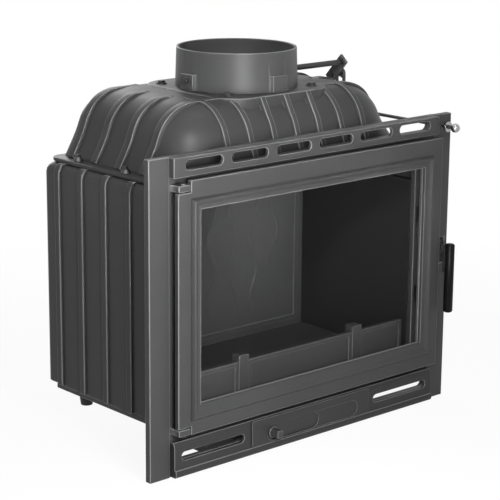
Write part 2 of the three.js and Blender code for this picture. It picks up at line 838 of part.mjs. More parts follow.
function addLiners() {
  const outer = wallInner - seatGap;
  const inner = outer - linerThickness;
  const right = box([inner, outer], [bodyFront + linerSetback, backLinerFace - seatGap], [floorZ, linerTop]);
  place("side_liner_right", right, darkIron);
  place("side_liner_left", mirrored(right), darkIron);

  const face = [backLinerFace, backLinerFace + backLinerThickness];
  const plate = box([-outer, outer], face, [floorZ, linerTop]);
  const edge = inner - borderInset;
  const low = floorZ + borderInset;
  const high = linerTop - borderInset;
  const raised = [backLinerFace - borderHeight, backLinerFace + cut];
  const border = box([-edge, edge], raised, [low, high]).subtract(
    box(
      [borderWidth - edge, edge - borderWidth],
      [raised[0] - cut, raised[1] + cut],
      [low + borderWidth, high - borderWidth],
    ),
  );
  place("back_liner", plate.add(border), darkIron);

  const baffleZ = linerTop + seatGap;
  const baffleEdges = [face[1] - baffleDepth, face[1]];
  const baffle = box([-outer, outer], baffleEdges, [baffleZ, baffleZ + baffleThickness]);
  place("baffle_plate", baffle, darkIron);
}

function addLogRetainer() {
  const half = mouthHalf - retainerInset;
  const retainerBack = bodyFront + retainerSetback + retainerThickness;
  const panelFront = retainerBack - retainerThickness;
  const borderFront = panelFront - retainerBorderProud;
  const retainerTop = floorZ + retainerHeight;
  const rail = [floorZ + retainerBorder, retainerTop - retainerBorder];
  const besidePost = postWidth / 2 + retainerBorder;
  const panels = [
    [-half + retainerBorder, -postX - besidePost],
    [-postX + besidePost, postX - besidePost],
    [postX + besidePost, half - retainerBorder],
  ];
  let retainer = box([-half, half], [borderFront, retainerBack], [floorZ, retainerTop]);
  for (const edges of panels) {
    retainer = retainer.subtract(box(edges, [borderFront - cut, panelFront], rail));
  }
  for (const x of [-postX, postX]) {
    const edges = [x - postWidth / 2, x + postWidth / 2];
    const outline = roundedRectangle(edges, [floorZ, floorZ + postHeight], postCorner);
    const post = [borderFront - retainerBorderProud, borderFront + postDepth];
    retainer = retainer.add(prism("xz", outline, post, 3));
  }
  place("log_retainer", retainer, darkIron);
}

// Hood

// The ring at share t of the way from the lip to the top, on smooth curves through hoodRings.
function hoodRing(t) {
  const curve = (a, b, c) =>
    new THREE.CatmullRomCurve3(hoodRings.map((r) => new THREE.Vector3(r[a], r[b], r[c]))).getPoint(t);
  const shape = curve("rise", "side", "front");
  const corners = curve("back", "frontCorner", "backCorner");
  return {
    z: hoodLipTop + shape.x,
    half: bodyHalf - shape.y,
    front: bodyFront + shape.z,
    back: bodyBack - corners.x,
    frontCorner: corners.y,
    backCorner: corners.z,
  };
}

const hoodSteps = 12;
const hoodShape = Array.from({ length: hoodSteps + 1 }, (_, i) => hoodRing(i / hoodSteps));

// How far a round corner falls back from the ring's straight side, `reach` past the corner's start.
function cornerFall(radius, reach) {
  const inside = Math.min(Math.max(reach, 0), radius);
  return radius - Math.sqrt(radius * radius - inside * inside);
}

function hoodSideX(ring, y) {
  const atFront = cornerFall(ring.frontCorner, ring.front + ring.frontCorner - y);
  const atBack = cornerFall(ring.backCorner, y - ring.back + ring.backCorner);
  return ring.half - atFront - atBack;
}

function hoodFrontY(ring, x) {
  return ring.front + cornerFall(ring.frontCorner, Math.abs(x) - ring.half + ring.frontCorner);
}

// A strip that follows a profile, sunk into the hood's wall on one side and proud of it on the other.
function ribStrip(profile, side) {
  const offsetBy = (distance) =>
    profile.map(([u, v], i) => {
      const [u0, v0] = profile[Math.max(i - 1, 0)];
      const [u1, v1] = profile[Math.min(i + 1, profile.length - 1)];
      const length = Math.hypot(u1 - u0, v1 - v0);
      return [
        u + (side * distance * (v1 - v0)) / length,
        v - (side * distance * (u1 - u0)) / length,
      ];
    });
  return [...offsetBy(hoodRibHeight), ...offsetBy(-hoodWall / 2).reverse()];
}

function addHood() {
  const outer = solidOf(loft(hoodShape.map((ring) => planRing(ring))));
  const inset = hoodShape.map((ring, i) =>
    planRing({
      z: ring.z - (hoodWall * i) / hoodSteps,
      half: ring.half - hoodWall,
      front: ring.front + hoodWall,
      back: ring.back - hoodWall,
      frontCorner: ring.frontCorner - hoodWall,
      backCorner: ring.backCorner - hoodWall,
    }),
  );
  const lowest = inset[0].map((p) => p.clone().setZ(hoodLipBottom - cut));
  const hollow = solidOf(loft([lowest, ...inset]));
  const lipHalf = bodyHalf - hoodLipInset;
  const lip = prism(
    "xy",
    roundedRectangle([-lipHalf, lipHalf], [bodyFront, bodyBack - hoodLipBackInset], hoodLipCorner),
    [hoodLipBottom, hoodLipTop + seatGap],
  );
  const seatOutline = roundedRectangle(
    [-seatWidth / 2, seatWidth / 2],
    [collarY - seatReach, collarY + seatReach],
    seatCorner,
  );
  const seatBottom = seatTop - seatDepth;
  const seat = prism("xy", seatOutline, [seatBottom, seatTop]);
  const aboveSeat = prism("xy", seatOutline, [seatTop, collarTop]);
  let hood = joined(outer, lip);
  for (const y of sideRibCentres.slice(1)) {
    const profile = hoodShape.map((ring) => [hoodSideX(ring, y), ring.z]);
    const rib = prism("xz", ribStrip(profile, 1), [y - ribWidth / 2, y + ribWidth / 2]);
    hood = joined(hood, rib, mirrored(rib));
  }
  for (let i = 0; i < hoodFrontRibs; i++) {
    const x = (i - (hoodFrontRibs - 1) / 2) * hoodFrontRibPitch;
    const profile = hoodShape.map((ring) => [hoodFrontY(ring, x), ring.z]);
    const halfRib = hoodFrontRibWidth / 2;
    hood = hood.add(prism("yz", ribStrip(profile, -1).reverse(), [x - halfRib, x + halfRib]));
  }
  const flue = round("z", flueHole, [seatBottom - cut, collarTop], [0, collarY]);
  hood = without(joined(hood, seat), aboveSeat, hollow, flue);
  const across = [-frameWidth, frameWidth];
  const frameSide = box(across, [-frameWidth, bodyFront], [0, collarTop]);
  const below = box(across, across, [0, hoodLipBottom]);
  place("hood", without(hood, frameSide, below), iron);
}

function addLipBolts() {
  const spots = { front: 1.5, rear: 3.5 }; // in rib pitches behind the first rib
  for (const [where, pitches] of Object.entries(spots)) {
    const y = firstRibY + pitches * ribPitch;
    for (const side of [-1, 1]) {
      const low = hoodLipTop + 2 * seatGap;
      const centre = [side * (bodyHalf - lipBoltInset), y];
      const bossTop = low + lipBossHeight;
      const boss = round("z", lipBossRadius, [low, bossTop], centre, lipBossTopRadius, smallSides);
      const headEdges = [bossTop - cut, bossTop + lipBoltHeight];
      const head = round("z", lipBoltRadius, headEdges, centre, undefined, hexSides);
      place(`lip_bolt_${where}_${side < 0 ? "left" : "right"}`, boss.add(head), steel);
    }
  }
}

function addCollar() {
  const profile = [
    [collarBore, collarBottom],
    [collarBaseRadius, collarBottom],
    [collarRadius, collarTop],
    [collarBore, collarTop],
    [collarBore, collarBottom],
  ].map(([r, z]) => new THREE.Vector2(r, z));
  const tube = new THREE.LatheGeometry(profile, 64);
  tube.rotateX(Math.PI / 2).translate(0, collarY, 0);
  const outer = collarRadius + padProud;
  const padZ = [collarBottom, collarBottom + padHeight];
  const sidePad = box(
    [-outer, -collarBore],
    [collarY - padWidth / 2, collarY + padWidth / 2],
    padZ,
  );
  const frontPad = box(
    [-padWidth / 2, padWidth / 2],
    [collarY - outer, collarY - collarBore],
    padZ,
  );
  const bore = round("z", collarBore, [collarBottom - cut, collarTop + cut], [0, collarY], collarBore, 64);
  const holeEdges = [-outer - cut, outer + cut];
  const shaftHole = round("x", shaftRadius + pinGap, holeEdges, [collarY, shaftZ], undefined, smallSides);
  place("flue_collar", without(joined(solidOf(tube), sidePad, frontPad), bore, shaftHole), iron);
  for (const [alongY, row] of [[-collarBoltY, "front"], [collarBoltY, "rear"]]) {
    for (const side of [-1, 1]) {
      const bolt = round(
        "z",
        collarBoltRadius,
        [collarBottom, collarBottom + collarBoltHeight],
        [side * collarBoltX, collarY + alongY],
        collarBoltRadius,
        6,
      );
      place(`collar_bolt_${row}_${side < 0 ? "left" : "right"}`, bolt, steel);
    }
  }
}

function addDamper() {
  const centre = [collarY, shaftZ];
  const shaftEnds = [-collarRadius - padProud - shaftStub, shaftRightEnd];
  place("damper_shaft", round("x", shaftRadius, shaftEnds, centre, undefined, smallSides), steel);
  const flapTop = shaftZ - shaftRadius - seatGap;
  const flapRadius = collarBore - flapGap;
  const flap = round("z", flapRadius, [flapTop - flapThickness, flapTop], [0, collarY], flapRadius, 48);
  place("damper_flap", flap, darkIron);

  const pin = [crankPinY, crankPinZ];
  const crankEdges = [crankX, crankX + crankThickness];
  const across = new THREE.Vector2(Math.cos(lean), Math.sin(lean)).multiplyScalar(crankWidth / 2);
  const along = new THREE.Vector2(across.y, -across.x);
  const web = prism(
    "yz",
    [
      [collarY - along.x - across.x, shaftZ - along.y - across.y],
      [crankPinY + along.x - across.x, crankPinZ + along.y - across.y],
      [crankPinY + along.x + across.x, crankPinZ + along.y + across.y],
      [collarY - along.x + across.x, shaftZ - along.y + across.y],
    ],
    crankEdges,
  );
  const cutEdges = [crankX - cut, crankX + crankThickness + cut];
  const crank = without(
    web,
    round("x", shaftRadius + pinGap / 2, cutEdges, centre),
    round("x", crankPinRadius + pinGap / 2, cutEdges, pin),
  );
  place("crank_arm", crank, iron);
  const nutEdges = [crankX - seatGap - crankHeadLength, crankX - seatGap];
  const headStart = eyeX + eyeThickness + seatGap;
  const bolt = joined(
    round("x", crankHeadRadius, nutEdges, pin, crankHeadRadius, hexSides),
    round("x", crankPinRadius, [nutEdges[0], headStart + cut], pin),
    round("x", crankHeadRadius, [headStart, headStart + crankHeadLength], pin, crankHeadRadius, hexSides),
  );
  place("crank_bolt", bolt, steel);
}

// The rod runs straight back, then bends up and inwards to its slotted eye on the crank's bolt.
function addPullRod() {
  const eyeMiddle = eyeX + eyeThickness / 2;
  const eyeHalfHeight = eyeSlotHeight / 2 + eyeRim;
  const eyeBottom = eyeSlotZ - eyeHalfHeight;
  const straight = round("y", rodRadius, [rodFront, rodBend], [rodX, rodZ], rodRadius, rodSides);
  const path = new THREE.CubicBezierCurve3(
    new THREE.Vector3(rodX, rodBend - cut, rodZ),
    new THREE.Vector3(rodX, rodBend + rodBendReach, rodZ),
    new THREE.Vector3(eyeMiddle, crankPinY, eyeBottom - rodBendReach),
    new THREE.Vector3(eyeMiddle, crankPinY, eyeBottom + eyeRim / 2),
  );
  const circle = new THREE.Shape();
  circle.absarc(0, 0, rodRadius, 0, 2 * Math.PI);
  const bent = new THREE.ExtrudeGeometry(circle, { steps: 24, curveSegments: 5, extrudePath: path });
  const eyeEdges = [eyeX, eyeX + eyeThickness];
  const eyeWidth = eyeSlotWidth + 2 * eyeRim;
  const eye = prism("yz", stadiumUp(crankPinY, eyeSlotZ, eyeWidth, 2 * eyeHalfHeight), eyeEdges);
  const slot = prism(
    "yz",
    stadiumUp(crankPinY, eyeSlotZ, eyeSlotWidth, eyeSlotHeight),
    [eyeX - cut - rodRadius, eyeX + eyeThickness + cut + rodRadius],
  );
  place("pull_rod", joined(straight, solidOf(bent), eye).subtract(slot), steel);

  const rodBore = (range) => round("y", rodRadius + pinGap, range, [rodX, rodZ], undefined, smallSides);
  const ringEnds = [ringFront, ringFront + ringLength];
  const ring = round("y", ringRadius, ringEnds, [rodX, rodZ], ringBackRadius);
  place("rod_ring", ring.subtract(rodBore([ringFront - cut, ringEnds[1] + cut])), chrome);
  const ball = new THREE.SphereGeometry(ballRadius, turnedSides, smallSides);
  ball.translate(rodX, ballY, rodZ);
  place("ball_knob", solidOf(ball).subtract(rodBore([rodFront - pinGap, ballY + 2 * ballRadius])), chrome);
}

// An upright slot with round ends.
function stadiumUp(u, v, width, height) {
  return roundedRectangle([u - width / 2, u + width / 2], [v - height / 2, v + height / 2], width / 2);
}

// Door

const door = new THREE.Group();
insert.add(door);

function addDoor() {
  const plateRange = [doorFront, doorBack];
  const through = [doorFront - cut, doorBack + cut];
  const sight = box([-sightHalf, sightHalf], through, [sightBottom, sightTop]);
  const flare = (grow, depth) => {
    const ring = [
      [-sightHalf - grow, sightBottom - grow],
      [sightHalf + grow, sightBottom - grow],
      [sightHalf + grow, sightTop + grow],
      [-sightHalf - grow, sightTop + grow],
    ];
    return ring.map(([x, z]) => new THREE.Vector3(x, z, depth));
  };
  const bevel = loft([flare(0, -doorFront - sightBevelDepth), flare(sightBevel, -doorFront + 0.01)]);
  bevel.applyMatrix4(planes.xz.basis);
  const plate = box([-doorHalf, doorHalf], plateRange, [doorBottom, doorTop]);
  const rimRange = [doorBack - cut, rimBack];
  const rimHole = box(
    [rimWidth - rimHalf, rimHalf - rimWidth],
    [doorBack, rimBack + cut],
    [rimBottom + rimWidth, rimTop - rimWidth],
  );
  const rim = box([-rimHalf, rimHalf], rimRange, [rimBottom, rimTop]).subtract(rimHole);
  const notchX = [-doorHalf - cut, hingeX + lugWidth / 2 + notchGap];
  const notchY = [doorFront - cut, rimBack + cut];
  const lowNotch = box(notchX, notchY, [doorBottom - cut, lowerLugZ + lugHeight + notchGap]);
  const highNotch = box(notchX, notchY, [upperLugZ - notchGap, doorTop + cut]);
  const pinHoles = round("z", hingePinRadius + pinGap, [doorBottom, doorTop], [hingeX, hingeY]);
  const frame = without(plate.add(rim), sight, solidOf(bevel), lowNotch, highNotch, pinHoles);
  place("door_frame", frame, iron, door);

  const glassHalf = sightHalf + glassOverlap;
  const glassZ = [sightBottom - glassOverlap, sightTop + glassOverlap];
  const sealFront = doorBack + seatGap;
  const glassFront = sealFront + glassSealThickness + seatGap;
  const seal = box([-glassHalf, glassHalf], [sealFront, glassFront - seatGap], glassZ).subtract(
    box(
      [-sightHalf - 1, sightHalf + 1],
      [sealFront - cut, glassFront + cut],
      [sightBottom - 1, sightTop + 1],
    ),
  );
  place("glass_seal", seal, rope, door);
  const glassBack = glassFront + glassThickness;
  place("door_glass", box([-glassHalf, glassHalf], [glassFront, glassBack], glassZ), glass, door);

  const sightMiddle = (sightBottom + sightTop) / 2;
  const clipFront = glassBack + seatGap;
  for (const side of [-1, 1]) {
    for (const [level, z] of [["lower", sightMiddle - clipZ], ["upper", sightMiddle + clipZ]]) {
      const rimInner = side * (rimHalf - rimWidth - seatGap);
      const edges = [rimInner - side * clipHeight, rimInner].sort((a, b) => a - b);
      const levels = [z - clipWidth / 2, z + clipWidth / 2];
      const clip = box(edges, [clipFront, clipFront + clipThickness], levels);
      place(`glass_clip_${level}_${side < 0 ? "left" : "right"}`, clip, steel, door);
    }
  }

  const sealRange = [rimBack + seatGap, backingSetback - seatGap];
  const sealOuter = rimHalf - (rimWidth - doorSealWidth) / 2;
  const sealInner = sealOuter - doorSealWidth;
  const lowEdge = rimBottom + rimHalf - sealOuter;
  const highEdge = rimTop - rimHalf + sealOuter;
  const doorSeal = box([-sealOuter, sealOuter], sealRange, [lowEdge, highEdge]).subtract(
    box(
      [-sealInner, sealInner],
      [sealRange[0] - cut, sealRange[1] + cut],
      [lowEdge + doorSealWidth, highEdge - doorSealWidth],
    ),
  );
  place("door_seal", doorSeal.subtract(lowNotch).subtract(highNotch), rope, door);
}

function addHingePins() {
  const centre = [hingeX, hingeY];
  const upperTop = upperLugZ + lugHeight + seatGap;
  const upper = joined(
    round("z", hingePinRadius, [upperTop - hingePinLength, upperTop + cut], centre, undefined, 20),
    round("z", hingeHeadRadius, [upperTop, upperTop + hingeHeadHeight], centre),
  );
  place("hinge_pin_upper", upper, steel);
  const lowerBottom = lowerLugZ - seatGap;
  const lower = joined(
    round("z", hingePinRadius, [lowerBottom - cut, lowerBottom + hingePinLength], centre, undefined, 20),
    round("z", hingeHeadRadius, [lowerBottom - hingeFootHeight, lowerBottom], centre),
  );
  place("hinge_pin_lower", lower, steel);
}

function addHandle() {
  const pivot = [pivotY, pivotZ];
  const plateStart = doorHalf + seatGap;
  const plateEnd = plateStart + bracketThickness;
  const hubEdges = [leverX - hubWidth / 2, leverX + hubWidth / 2];
  const headStart = hubEdges[1] + seatGap;
  const bracket = joined(
    box(
      [plateStart, plateEnd],
      [pivotY - bracketDepth / 2, pivotY + bracketDepth / 2],
      [pivotZ - bracketHeight / 2, pivotZ + bracketHeight / 2],
    ),
    round("x", pivotRadius, [plateEnd - cut, headStart + cut], pivot, undefined, 20),
    round("x", pivotHeadRadius, [headStart, headStart + pivotHeadLength], pivot, undefined, 20),
  );
  place("handle_bracket", bracket, iron, door);

  const leverEdges = [leverX - leverWidth / 2, leverX + leverWidth / 2];
  const strapBack = grabY + grabRadius + seatGap + leverStrap;
  const strapFront = strapBack - leverStrap;
  const strapTop = grabTop - leverStrapMargin;
  const strapBottom = pivotZ - leverStrapDrop;
  const arm = prism(
    "yz",
    [
      [strapFront, strapBottom],
      [strapBack, strapBottom],
      [strapBack, pivotZ - 2 * hubRadius],
      [pivotY, pivotZ - hubRadius],
      [pivotY, pivotZ + hubRadius],
      [strapBack, strapTop],
      [strapFront, strapTop],
    ],
    leverEdges,
  );
  const tongue = box(
    leverEdges,
    [pivotY, frameBack + tongueReach],
    [pivotZ - tongueHeight / 2, pivotZ + tongueHeight / 2],
  );
  const hub = round("x", hubRadius, hubEdges, pivot, undefined, turnedSides);
  const boreEdges = [hubEdges[0] - cut, hubEdges[1] + cut];
  const bore = round("x", pivotRadius + pinGap, boreEdges, pivot, undefined, 20);
  place("handle_lever", joined(arm, tongue, hub).subtract(bore), darkIron, door);

  const tip = grabRadius / 4;
  const outline = [
    [0, grabBottom],
    [grabRadius - tip, grabBottom],
    [grabRadius, grabBottom + tip],
    [grabRadius, grabTop - tip],
    [grabRadius - tip, grabTop],
    [0, grabTop],
  ].map(([r, z]) => new THREE.Vector2(r, z));
  const grip = new THREE.LatheGeometry(outline, turnedSides);
  grip.rotateX(Math.PI / 2).translate(leverX, grabY, 0);
  place("handle_grip", solidOf(grip), blackGrip, door);

  const keeperLow = pivotZ + tongueHeight / 2 + seatGap;
  const keeperEdges = [
    latchSlotX - latchSlotWidth / 2 + seatGap,
    latchSlotX + latchSlotWidth / 2 - seatGap,
  ];
  const keeperFront = frameBack + seatGap;
  const keeperBack = keeperFront + keeperThickness;
  const keeper = joined(
    box(keeperEdges, [frameBack - keeperReach, keeperBack], [keeperLow, keeperLow + keeperBar]),
    box(keeperEdges, [keeperFront, keeperBack], [keeperLow, keeperLow + keeperHeight]),
  );
  place("latch_keeper", keeper, steel);
}

addFrontFrame();
addGrille();
addLowerPanel();
addAirControl();
addCastings();
addBase();
addAirBox();
addGrate();
addLiners();
addLogRetainer();
addHood();
addLipBolts();
addCollar();
addDamper();
addPullRod();
addDoor();
addHingePins();
addHandle();

const fireplace = new THREE.Group();
fireplace.add(insert);
export default fireplace;
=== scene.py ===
import json
import math

import bmesh
import bpy
from mathutils import Matrix, Vector


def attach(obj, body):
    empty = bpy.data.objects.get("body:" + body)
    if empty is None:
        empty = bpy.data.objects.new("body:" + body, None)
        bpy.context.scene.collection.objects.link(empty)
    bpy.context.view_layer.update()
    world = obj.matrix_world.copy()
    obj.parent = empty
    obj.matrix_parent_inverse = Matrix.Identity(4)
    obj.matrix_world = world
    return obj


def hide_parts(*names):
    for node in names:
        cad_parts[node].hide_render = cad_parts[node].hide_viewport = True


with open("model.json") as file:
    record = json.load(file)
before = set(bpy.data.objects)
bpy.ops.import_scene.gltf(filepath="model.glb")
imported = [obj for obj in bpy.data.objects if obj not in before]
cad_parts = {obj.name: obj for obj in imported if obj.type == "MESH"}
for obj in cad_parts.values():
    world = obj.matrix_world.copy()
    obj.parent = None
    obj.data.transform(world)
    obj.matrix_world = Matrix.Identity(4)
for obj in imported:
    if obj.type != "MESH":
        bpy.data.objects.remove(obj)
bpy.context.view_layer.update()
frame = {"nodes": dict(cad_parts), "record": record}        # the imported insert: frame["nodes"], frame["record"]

print("frame loaded:", len(frame["nodes"]), "nodes")

# Sizes are in millimetres, measured as on the drawing: X from the middle of the front, Y back from
# the face of the frame's columns, Z up from the hearth. at() turns them into the frame's metres.
drawingSetback = 147.375


def at(x, y, z):
    return Vector((x, y - drawingSetback, z)) / 1000


def mm(value):
    return value / 1000


# Camera, light and floor

view = {
    "place": (-1.9224, -2.1427, 1.0162),
    "yaw": 41.931,
    "pitch": 14.131,  # down
    "roll": 0.493,
    "lens": 126.55,
    "sensor": 36,
    "clipEnd": 50,
}


def addCamera():
    yaw, pitch, roll = (math.radians(view[key]) for key in ("yaw", "pitch", "roll"))
    flat = math.cos(pitch)
    ahead = Vector((math.sin(yaw) * flat, math.cos(yaw) * flat, -math.sin(pitch)))
    sideways = Vector((math.cos(yaw), -math.sin(yaw), 0))
    upright = sideways.cross(ahead)
    right = math.cos(roll) * sideways + math.sin(roll) * upright
    up = math.cos(roll) * upright - math.sin(roll) * sideways
    data = bpy.data.cameras.new("camera")
    data.lens = view["lens"]
    data.sensor_width = view["sensor"]
    data.clip_end = view["clipEnd"]
    camera = bpy.data.objects.new("camera", data)
    turn = Matrix((right, up, -ahead)).transposed().to_4x4()
    camera.matrix_world = Matrix.Translation(view["place"]) @ turn
    bpy.context.scene.collection.objects.link(camera)
    bpy.context.scene.camera = camera


lamps = {  # places in metres, powers in watts, spreads in degrees
    "key": {
        "place": (-0.5, -0.84, 0.48), "aim": (-0.3, -0.15, 0.34), "size": (0.34, 0.34), "power": 14,
        "spread": 180,
    },
    "crown": {
        "place": (-1.2, -1.35, 1.5), "aim": (-0.05, 0, 0.6), "size": (0.6, 0.5), "power": 1.7,
        "spread": 20,
    },
    "hearth": {
        "place": (0.05, -1.3, 0.5), "aim": (0.15, 0.15, 0.28), "size": (0.12, 0.12), "power": 0.16,
        "spread": 12,
    },
    "top": {
        "place": (0.1, 0.15, 2.4), "aim": (0, 0.1, 0.5), "size": (1.6, 1.0), "power": 8,
        "spread": 180,
    },
    "right": {
        "place": (2.2, -0.4, 1.0), "aim": (0, 0, 0.3), "size": (1.2, 1.4), "power": 1.5,
        "spread": 180,
    },
    "left": {
        "place": (-2.2, 0.3, 1.2), "aim": (-0.2, 0.1, 0.4), "size": (0.8, 1.2), "power": 0.8,
        "spread": 180,
    },
    "rear": {
        "place": (0.6, 2.3, 1.3), "aim": (0, 0.1, 0.3), "size": (1.4, 1.2), "power": 20,
        "spread": 180,
    },
}


def addLamps():
    for name, lamp in lamps.items():
        data = bpy.data.lights.new(name + "Lamp", "AREA")
        data.shape = "RECTANGLE"
        data.size, data.size_y = lamp["size"]
        data.energy = lamp["power"]
        data.spread = math.radians(lamp["spread"])
        item = bpy.data.objects.new(name + "Lamp", data)
        place = Vector(lamp["place"])
        turn = (Vector(lamp["aim"]) - place).to_track_quat("-Z", "Y")
        item.matrix_world = Matrix.Translation(place) @ turn.to_matrix().to_4x4()
        bpy.context.scene.collection.objects.link(item)


# Node trees. A Wire is one output socket, and sums on wires add their Math nodes.

mixSockets = {"low": 6, "high": 7, "out": 2}  # the colour sockets of a Mix node


class Wire:
    def __init__(self, shader, socket):
        self.shader = shader
        self.socket = socket

    def maths(self, operation, first, second):
        values = {0: first, 1: second}
        return self.shader.node("ShaderNodeMath", {"operation": operation}, values)

    def __add__(self, other):
        return self.maths("ADD", self, other)

    def __sub__(self, other):
        return self.maths("SUBTRACT", self, other)

    def __mul__(self, other):
        return self.maths("MULTIPLY", self, other)

    __radd__ = __add__


class Shader:
    def __init__(self, tree):
        self.tree = tree
        tree.nodes.clear()

    def node(self, kind, settings=None, values=None, out=0):
        made = self.tree.nodes.new(kind)
        for key, value in (settings or {}).items():
            if key == "stops":
                ramp = made.color_ramp
                while len(ramp.elements) < len(value):
                    ramp.elements.new(0.5)
                for element, (place, grey) in zip(ramp.elements, value):
                    element.position = place
                    element.color = (grey, grey, grey, 1)
            else:
                setattr(made, key, value)
        for key, value in (values or {}).items():
            if isinstance(value, Wire):
                self.tree.links.new(value.socket, made.inputs[key])
            else:
                made.inputs[key].default_value = value
        return Wire(self, made.outputs[out]) if made.outputs else None

    def place(self):
        return self.node("ShaderNodeTexCoord", out="Object")

    def noise(self, scale, detail, roughness, stretch=None):
        place = self.place()
        if stretch:
            place = self.node("ShaderNodeMapping", values={"Vector": place, "Scale": stretch})
        values = {"Vector": place, "Scale": scale, "Detail": detail, "Roughness": roughness}
        return self.node("ShaderNodeTexNoise", values=values, out="Fac")

    def ramp(self, value, *stops):
        return self.node("ShaderNodeValToRGB", {"stops": stops}, {"Fac": value})

    def blend(self, amount, low, high):
        values = {"Factor": amount, mixSockets["low"]: low, mixSockets["high"]: high}
        return self.node("ShaderNodeMix", {"data_type": "RGBA"}, values, out=mixSockets["out"])

    def bump(self, height, strength, distance, normal=None):
        values = {"Height": height, "Strength": strength, "Distance": distance}
        if normal:
            values["Normal"] = normal
        return self.node("ShaderNodeBump", values=values)

    def attribute(self, name):
        return self.node("ShaderNodeAttribute", {"attribute_name": name}, out="Fac")

    def surface(self, **values):
        values = {key.replace("_", " "): value for key, value in values.items()}
        made = self.node("ShaderNodeBsdfPrincipled", values=values)
        self.node("ShaderNodeOutputMaterial", values={"Surface": made})


def material(name, build):
    made = bpy.data.materials.new(name)
    made.use_nodes = True
    build(Shader(made.node_tree))
    return made


def tone(value):
    return (value, value * 1.004, value * 1.012, 1)


paint = {
    "clouds": {"scale": 9, "detail": 4, "roughness": 0.55},
    "grain": {"scale": 1100, "detail": 2, "roughness": 0.6},
    "dimples": {"scale": 240, "detail": 3, "roughness": 0.6},
    "swell": {"scale": 26, "detail": 2, "roughness": 0.5},
    "swellBump": {"strength": 0.1, "distance": 0.002},
    "grainReach": 0.0005,
    "mottle": 0.12,  # how far the colour strays from its base
    "darkest": 0.3,  # share of the base colour where a piece is darkened in full
    "specular": 0.16,
}


def paintedIron(base, roughness, edgeLift, grainDepth):
    # satin stove paint on a sand casting: fine grain, faint cloudiness, and a painted highlight on
    # the rounded edges
    def build(shader):
        clouds, grain, dimples, swell = (
            shader.noise(**paint[key]) for key in ("clouds", "grain", "dimples", "swell")
        )
        mottle = shader.ramp(clouds * 0.7 + grain * 0.3, (0.3, 0), (0.7, 1))
        edge = shader.attribute("edge")
        low, high = tone(base * (1 - paint["mottle"])), tone(base * (1 + paint["mottle"]))
        coat = shader.blend(mottle, low, high)
        # the shade attribute darkens whole pieces, as painted shade on most of them
        coat = shader.blend(shader.attribute("shade"), coat, tone(base * paint["darkest"]))
        # the marked faces are painted paler: a painted highlight where the rounded edges catch the
        # light
        highlightShare = edge * (clouds * 0.6 + 0.7)
        rough = roughness - 0.05 + clouds * 0.06 + grain * 0.04
        relief = grain * 0.35 + dimples * 0.65
        bent = shader.bump(swell, **paint["swellBump"])
        shader.surface(
            Base_Color=shader.blend(highlightShare, coat, tone(base * edgeLift)),
            Roughness=rough - edge * 0.06,
            Specular_IOR_Level=paint["specular"],
            Normal=shader.bump(relief, grainDepth, paint["grainReach"], bent),
        )

    return build


def bareSteel(base, roughness):
    # plain steel, a little darkened, with fine turning marks
    def build(shader):
        smudge = shader.noise(scale=45, detail=4, roughness=0.6)
        marks = shader.noise(scale=900, detail=2, roughness=0.5, stretch=(1, 1, 0.15))
        shader.surface(
            Base_Color=shader.blend(smudge, tone(base * 0.75), tone(base * 1.2)),
            Roughness=roughness + smudge * 0.16,
            Metallic=1.0,
            Normal=shader.bump(marks, strength=0.12, distance=0.0002),
        )

    return build


def polishedChrome(shader):
    haze = shader.noise(scale=120, detail=2, roughness=0.5)
    shader.surface(
        Base_Color=tone(0.34),
        Roughness=0.08 + haze * 0.08,
        Metallic=1.0,
        Normal=shader.bump(haze, strength=0.03, distance=0.0002),
    )


def satinBlack(shader):
    fine = shader.noise(scale=700, detail=2, roughness=0.5)
    shader.surface(
        Base_Color=shader.blend(fine, tone(0.003), tone(0.006)),
        Roughness=0.3 + fine * 0.08,
        Specular_IOR_Level=0.08,
        Normal=shader.bump(fine, strength=0.1, distance=0.0002),
    )


def clearGlass(shader):
    # nearly clear, with a faint film
    film = shader.noise(scale=14, detail=3, roughness=0.5)
    shader.surface(
        Base_Color=tone(0.012),
        Roughness=0.02 + film * 0.04,
        IOR=1.5,
        Specular_IOR_Level=0.1,
        Alpha=0.03 + film * 0.03,
    )


def braidedRope(shader):
    weave = {"wave_type": "BANDS", "bands_direction": "DIAGONAL", "wave_profile": "SIN"}
    values = {"Vector": shader.place(), "Scale": 180, "Distortion": 1.2}
    strands = shader.node("ShaderNodeTexWave", weave, values, out="Fac")
    fibres = shader.noise(scale=1500, detail=2, roughness=0.6)
    shader.surface(
        Base_Color=shader.blend(strands * 0.7 + fibres * 0.3, tone(0.03), tone(0.11)),
        Roughness=0.92,
        Normal=shader.bump(strands * 0.8 + fibres * 0.2, strength=0.6, distance=0.0008),
    )


paintedOutside = paintedIron(base=0.037, roughness=0.42, edgeLift=3.4, grainDepth=0.16)
paintedInside = paintedIron(base=0.04, roughness=0.55, edgeLift=2.4, grainDepth=0.03)
finishes = {
    "cast_iron": material("ironPaint", paintedOutside),
    "firebox_iron": material("fireboxIron", paintedInside),
    "steel": material("darkenedSteel", bareSteel(base=0.06, roughness=0.4)),
    "chrome": material("brightChrome", polishedChrome),
    "black_grip": material("gripBlack", satinBlack),
    "glass": material("clearGlass", clearGlass),
    "seal_rope": material("sealRope", braidedRope),
}
print("materials made:", len(finishes))

nodeSlot = {row["node"]: row["material_slot"] for row in frame["record"]["subparts"]}
bodyNodes = frame["record"]["behaviour"]["bodies"]
nodeBody = {node: body for body, names in bodyNodes.items() for node in names}

for node, item in frame["nodes"].items():
    item.data.materials.clear()
    item.data.materials.append(finishes[nodeSlot[node]])


backdrop = {
    "reach": 1.5,  # the floor's radius in metres
    "fadeFrom": 0.75,
    "fadeTo": 1.4,
    "glow": 0.93,  # share of plain white in the middle of the floor, whose rest takes the shadow
    "floorTone": (0.9, 0.9, 0.9, 1),
    "segments": 96,
    "drop": 0.0005,  # how far the floor lies under the insert
    "fill": 0.12,  # the world's light on the insert
    "white": (1, 1, 1, 1),
}


